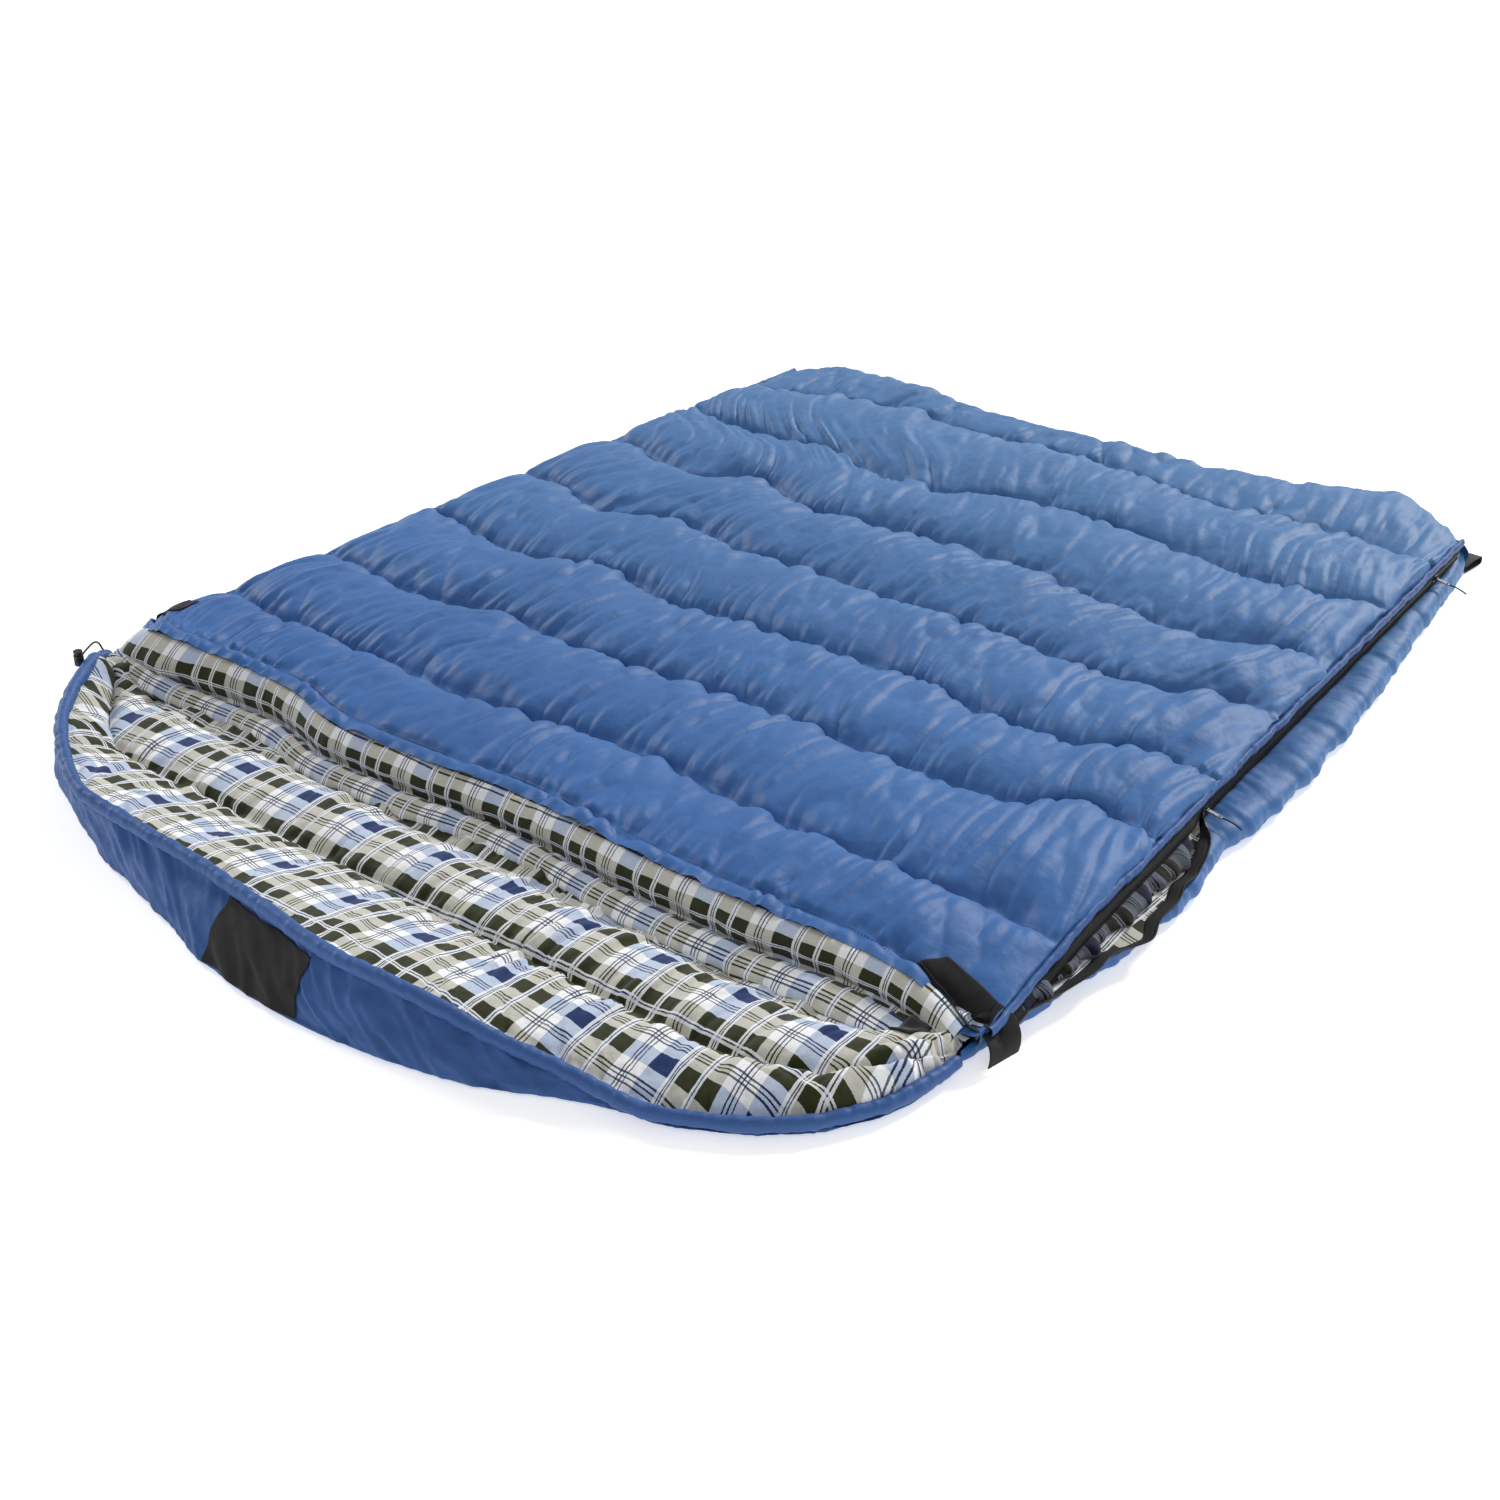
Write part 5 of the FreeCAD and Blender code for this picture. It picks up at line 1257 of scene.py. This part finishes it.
def edge_piping(side):
    sx = 1 if side == "right" else -1
    fz = zr if sx > 0 else zl
    y = np.linspace(-0.688 if sx > 0 else -0.605, 1.050, 700)
    d_ = sstep(-0.36, -0.69, y) if sx > 0 else 0 * y
    o_ = sstep(-0.055, -0.12, y)
    P = np.stack([fz(y) + sx * (0.0045 + 0.0015 * noise2(y * 30, y * 0, 171) + 0.002 * o_), y, 0.0790 - 0.028 * d_ + 0.0016 * noise2(y * 24, y * 0, 173)], 1)
    th = np.linspace(0, 2 * np.pi, 10, endpoint=False)
    r = 0.0048 * (1 + 0.18 * noise2(y[:, None] * 90 + 0 * th, np.cos(th)[None, :], 175))
    V = np.zeros((len(y), 10, 3))
    V[..., 0] = P[:, None, 0] + r * np.cos(th); V[..., 1] = y[:, None]; V[..., 2] = P[:, None, 2] + r * 1.5 * np.sin(th)
    # the piping takes the darker shell copy: painted shade
    o = grid_mesh(side + "_edge_piping", V, np.stack([V[..., 1], V[..., 2]], -1), closed_v=True, mat=M_SHELL_SHADED)
    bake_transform(o)


edge_piping("right"); edge_piping("left")
low_r, up_r = zip_side("right")
low_l, up_l = zip_side("left")

# =================================================== closure bands and strips
B_TOP = bvh_of(top_shell, mouth_band)


def drop_z(bv, x, y, fallback):
    h = bv.ray_cast(Vector((x, y, 0.4)), Vector((0, 0, -1)))
    return h[0].z if h[0] is not None else fallback


def webbing_band(name, P, side_vec, width, thick, mat, n_w=7):
    """Flat band along P, side_vec (n,3) gives its width direction."""
    V = P[:, None] + side_vec[:, None] * np.linspace(-width / 2, width / 2, n_w)[None, :, None]
    s = np.r_[0, np.cumsum(np.linalg.norm(np.diff(P, axis=0), axis=1))]
    o = grid_mesh(name, V, np.stack(np.broadcast_arrays(s[:, None], np.linspace(0, width, n_w)[None, :]), -1), mat=mat)
    solidify(o, thick, 1.0)
    m = o.modifiers.new("b", "BEVEL"); m.width = thick * 0.35; m.segments = 2; m.limit_method = "ANGLE"
    apply_mods(o)
    return o


def closure(side):
    sx = 1 if side == "right" else -1
    if sx > 0:
        P = along([(0.707, -0.640, 0.1), (0.742, -0.645, 0.1), (0.775, -0.653, 0.1), (0.806, -0.662, 0.1)], 26)
        flap = [(0.8065, -0.662, 0.060), (0.832, -0.667, 0.057), (0.846, -0.672, 0.043), (0.850, -0.676, 0.026), (0.849, -0.679, 0.010)]
        w0, w1 = np.array([0.56, 0.83, 0.0]), np.array([0.20, 0.98, 0.0])
    else:
        P = along([(-0.815, -0.567, 0.1), (-0.825, -0.567, 0.1), (-0.836, -0.567, 0.1), (-0.846, -0.567, 0.1)], 22)
        flap = [(-0.848, -0.567, 0.100), (-0.862, -0.567, 0.092), (-0.868, -0.567, 0.070), (-0.869, -0.567, 0.045), (-0.867, -0.567, 0.016)]
        w0 = w1 = np.array([0.0, 1.0, 0.0])
    n_w = 9
    wd = 0.058
    kk = np.linspace(0, 1, len(P))[:, None]
    wv_ = w0 * (1 - kk) + w1 * kk
    wdir = w1
    V = P[:, None] + wv_[:, None] * np.linspace(-wd / 2, wd / 2, n_w)[None, :, None]
    for i in range(V.shape[0]):
        for j in range(n_w):
            V[i, j, 2] = drop_z(B_TOP, V[i, j, 0], V[i, j, 1], 0.07) + 0.0022
    # it runs out level over the edge, and then bridges fine creases
    over = np.abs(V[..., 0]) > (0.790 if sx > 0 else 0.843)
    lim = V[..., 2][~over].min() if (~over).any() else 0.07
    ref = np.where(over, 1e3, V[..., 2]).min(0)
    V[..., 2] = np.where(over, np.maximum(V[..., 2], ref[None] - 0.006), V[..., 2])
    for _ in range(3):
        V[1:-1, :, 2] = np.maximum(V[1:-1, :, 2], (V[:-2, :, 2] + V[2:, :, 2]) / 2)
    s = np.r_[0, np.cumsum(np.linalg.norm(np.diff(P, axis=0), axis=1))]
    patch = grid_mesh(side + "_closure_patch_band", V, np.stack(np.broadcast_arrays(s[:, None], np.linspace(0, wd, n_w)[None, :]), -1), mat=M_LABEL, flip=sx > 0)
    solidify(patch, 0.0016, 0.0)
    subdivide(patch, 1)
    end = V[-1]
    Fp = along(flap, 26)
    off = end[n_w // 2] - Fp[0]
    Fp = Fp + off[None] * np.linspace(1, 0, 26)[:, None] ** 1.0
    wv = wdir * 1.0
    Vf = Fp[:, None] + wv[None, None] * np.linspace(-wd / 2, wd / 2, n_w)[None, :, None]
    shape0 = end - end[n_w // 2] - wv[None] * np.linspace(-wd / 2, wd / 2, n_w)[:, None]
    Vf = Vf + shape0[None] * (np.linspace(1, 0, 26)[:, None, None] ** 1.5)
    sf_ = np.r_[0, np.cumsum(np.linalg.norm(np.diff(Fp, axis=0), axis=1))]
    fl = grid_mesh(side + "_closure_flap_band", Vf, np.stack(np.broadcast_arrays(sf_[:, None], np.linspace(0, wd, n_w)[None, :]), -1), mat=M_LABEL, flip=sx > 0)
    solidify(fl, 0.0018, 0.0)
    subdivide(fl, 1)
    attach(patch, "top_head"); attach(fl, side + "_closure")
    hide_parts(side + "_closure_patch"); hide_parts(side + "_closure_tab")
    # edge stitching on the patch
    st = []
    for j in (0, n_w - 1):
        w_in = V[:, j] + (wv_ if j == 0 else -wv_) * 0.0035 + np.array([0, 0, 0.0012])
        st += stitch_line(w_in, np.tile([0, 0, 1.0], (len(w_in), 1)), pitch=0.0045)
    so_ = join_meshes(side + "_closure_stitches", st, M_THREAD)
    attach(so_, "top_head")


closure("right"); closure("left")

# hook strip on the lower quilt's corner
B_H = bvh_of(hood_lining)
hs = []
ax = np.linspace(0.732, 0.766, 8); ay = np.linspace(-0.765, -0.708, 6)
Hs = np.zeros((8, 6, 3))
for i, xq in enumerate(ax):
    for j, yq in enumerate(ay):
        Hs[i, j] = (xq, yq, drop_z(B_H, xq, yq, 0.045) + 0.0028)
hook = grid_mesh("corner_hook_strip", Hs, Hs[..., :2].copy(), mat=M_HOOK, flip=False)
solidify(hook, 0.0018, 1.0)

# foot loops of folded webbing
def foot_loop(side):
    sx = 1 if side == "right" else -1
    cx, cy = (0.7285, 1.094) if sx > 0 else (-0.7225, 1.094)
    d = np.array([0.10 * sx, 0.995, 0])
    L = 0.062
    n = 60
    t = np.linspace(0, 1, n)
    a = np.where(t < 0.42, t / 0.42, np.where(t > 0.58, (1 - t) / 0.42, 1.0))
    z = np.interp(t, [0, 0.42, 0.46, 0.5, 0.54, 0.58, 1], [0.0045, 0.0035, 0.0045, 0.0090, 0.0135, 0.0145, 0.0135])
    z = blur1(z, 2)
    P = np.zeros((n, 3)); P[:, 2] = z
    bow = 0.0030 * np.sin(np.pi * a) * np.where(t < 0.5, -0.2, 1)
    P[:, :2] = np.array([cx, cy]) + d[:2] * (a * L)[:, None]
    P[:, 2] += bow
    sv = np.tile(np.array([d[1], -d[0], 0]), (n, 1))
    o = webbing_band(side + "_webbing_loop", P, sv, 0.025, 0.0018, M_WEB, 5)
    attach(o, "base"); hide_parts(side + "_foot_loop")


foot_loop("right"); foot_loop("left")

# ====================================================================== cords
def nurbs(name, pts, dia, mat):
    cu = bpy.data.curves.new(name, "CURVE"); cu.dimensions = "3D"
    sp = cu.splines.new("NURBS"); sp.points.add(len(pts) - 1)
    for i, p in enumerate(pts):
        sp.points[i].co = (*p, 1.0)
    sp.order_u = 3; sp.use_endpoint_u = True; sp.resolution_u = 16
    cu.bevel_depth = dia / 2; cu.bevel_resolution = 4; cu.use_fill_caps = True
    o = bpy.data.objects.new(name, cu)
    bpy.context.scene.collection.objects.link(o)
    cu.materials.append(mat)
    return o


ROUTES = {
    "right_mid": [(0.8232, -0.0440, 0.0513), (0.8334, -0.0413, 0.0492), (0.8441, -0.0411, 0.0463), (0.8549, -0.0431, 0.0424)],
    "right_foot": [(0.7730, 0.9210, 0.0513), (0.7831, 0.9237, 0.0492), (0.7938, 0.9239, 0.0463), (0.8046, 0.9219, 0.0424)],
    "left_mid": [(-0.8473, -0.0425, 0.0513), (-0.8577, -0.0441, 0.0492), (-0.8683, -0.0431, 0.0463), (-0.8788, -0.0398, 0.0424)],
    "left_foot": [(-0.7878, 0.9425, 0.0513), (-0.7982, 0.9409, 0.0492), (-0.8088, 0.9419, 0.0463), (-0.8193, 0.9452, 0.0424)],
}
for k, pts in ROUTES.items():
    o = nurbs(k + "_pull_string", pts, 0.0026, M_CORD)
    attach(o, k + "_pull"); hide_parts(k + "_pull_cord")
TAIL = [(-0.8060, -0.8000, 0.1031), (-0.8401, -0.7482, 0.1031), (-0.8601, -0.7172, 0.0941), (-0.8711, -0.7012, 0.0651), (-0.8651, -0.6902, 0.0371)]
tail = nurbs("hood_drawcord_tail", TAIL, 0.0035, M_CORD)
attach(tail, "hood"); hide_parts("drawcord_tail")

# ================================================== bodies, stands, CAD pieces
for o, s in ((top_shell, "shell_fabric"), (top_lining, "plaid_lining"), (top_seams, "shell_fabric")):
    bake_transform(o)
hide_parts("top_foot_shell", "top_head_shell", "top_foot_fill", "top_head_fill", "head_hem")
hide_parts("top_foot_lining", "top_head_lining")
for o in (mouth_band, collar):
    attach(o, "top_head")
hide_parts("draft_collar")
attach(label, "hood")
for o in (hood_wall, hood_rim, hood_lining, hood_under):
    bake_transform(o)
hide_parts("hood_wall", "hood_wall_low"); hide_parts("hood_rim_casing", "hood_drawcord"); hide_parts("hood_lining", "hood_fill")
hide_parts("hood_shell"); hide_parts("hood_label")
for o, s in ((bottom_shell, "shell_fabric"), (bottom_under, "shell_fabric"), (bottom_lining, "plaid_lining"), (hook, "hook_loop")):
    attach(o, "base")
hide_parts("bottom_shell", "bottom_fill"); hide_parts("bottom_lining"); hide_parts("inner_hook_strip")
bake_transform(gusset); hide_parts("foot_seam_binding")

# the lock's coil spring
lo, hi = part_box("cord_lock_spring")
cx, cy = (lo[0] + hi[0]) / 2, (lo[1] + hi[1]) / 2
rs = (hi[0] - lo[0]) / 2 - 0.0004
tt = np.linspace(0, 1, 150)
hx_ = np.stack([cx + rs * np.cos(tt * 2 * np.pi * 6), cy + rs * np.sin(tt * 2 * np.pi * 6), lo[2] + 0.0004 + (hi[2] - lo[2] - 0.0008) * tt], 1)
th = np.linspace(0, 2 * np.pi, 8, endpoint=False)
rad = np.stack([np.cos(tt * 2 * np.pi * 6), np.sin(tt * 2 * np.pi * 6), 0 * tt], 1)
Vs = hx_[:, None] + rad[:, None] * (0.00032 * np.cos(th))[None, :, None] + np.array([0, 0, 1.0])[None, None] * (0.00032 * np.sin(th))[None, :, None]
spring = grid_mesh("lock_coil_spring", Vs, None, closed_v=True, mat=M_STEEL)
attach(spring, "cord_lock"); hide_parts("cord_lock_spring")
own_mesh(spring)

CAD = {"slider": M_METAL, "pull_tab": M_METAL, "cord_lock_body": M_LOCK, "cord_lock_button": M_LOCK, "cord_lock_spring": M_STEEL, "zip_end_stops": M_METAL, "hook_patch": M_HOOK, "hood_drawcord": M_CORD}
for name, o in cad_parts.items():
    if o.hide_render:
        continue
    for key, m in CAD.items():
        if key in name:
            o.data.materials.clear(); o.data.materials.append(m)
            if key in ("slider", "pull_tab", "cord_lock_body", "cord_lock_button"):
                b = o.modifiers.new("soft_edges", "BEVEL"); b.width = 0.0005; b.segments = 2; b.limit_method = "ANGLE"; b.angle_limit = math.radians(40)
            break
    else:
        print("shown CAD node without a finish:", name)

# ===================================================================== stage
bpy.ops.mesh.primitive_plane_add(size=160, location=(0, 0, -0.0005))
floor = bpy.context.object; floor.name = "floor"
mf, nt, p = new_mat("floor_paper")
tc = N(nt, "ShaderNodeTexCoord")
nz = N(nt, "ShaderNodeTexNoise"); nz.inputs["Scale"].default_value = 3.0; nz.inputs["Detail"].default_value = 3.0
nt.links.new(tc.outputs["Object"], nz.inputs["Vector"])
cf = mix_col(nt, nz.outputs["Fac"], (0.90, 0.90, 0.90), (0.93, 0.93, 0.93))
nt.links.new(cf, p.inputs["Base Color"])
p.inputs["Roughness"].default_value = 0.8
p.inputs["Specular IOR Level"].default_value = 0.1
p.inputs["Emission Color"].default_value = (1, 1, 1, 1); p.inputs["Emission Strength"].default_value = 0.50
floor.data.materials.append(mf)

world = bpy.data.worlds.new("studio"); bpy.context.scene.world = world
world.use_nodes = True
bg = world.node_tree.nodes["Background"]
bg.inputs[0].default_value = (1.0, 1.0, 1.0, 1.0); bg.inputs[1].default_value = 0.38


def sun(name, towards, strength, spread):
    """Soft parallel light coming from a direction."""
    l = bpy.data.lights.new(name, "SUN"); l.energy = strength; l.angle = math.radians(spread)
    o = bpy.data.objects.new(name, l); bpy.context.scene.collection.objects.link(o)
    o.location = Vector(towards).normalized() * 5
    o.rotation_euler = Vector(towards).to_track_quat("Z", "Y").to_euler()


sun("key", (0.10, 1.0, 0.72), 2.45, 12)
sun("rake", (-1.0, 0.1, 0.50), 1.05, 10)
sun("front", (0.6, -0.8, 1.1), 0.45, 40)

cam = bpy.data.cameras.new("camera"); cam.lens = 53.1; cam.sensor_width = 36; cam.clip_end = 60
co = bpy.data.objects.new("camera", cam); bpy.context.scene.collection.objects.link(co)
az, el = math.radians(37.52), math.radians(29.21)
back = Vector((math.sin(az) * math.cos(el), -math.cos(az) * math.cos(el), math.sin(el)))
co.location = (1.952, -2.634, 1.697)
co.rotation_euler = back.to_track_quat("Z", "Y").to_euler()
bpy.context.scene.camera = co
bpy.context.scene.view_settings.view_transform = "Standard"
bpy.context.scene.view_settings.look = "None"

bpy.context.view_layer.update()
print("total", time.time() - T0)
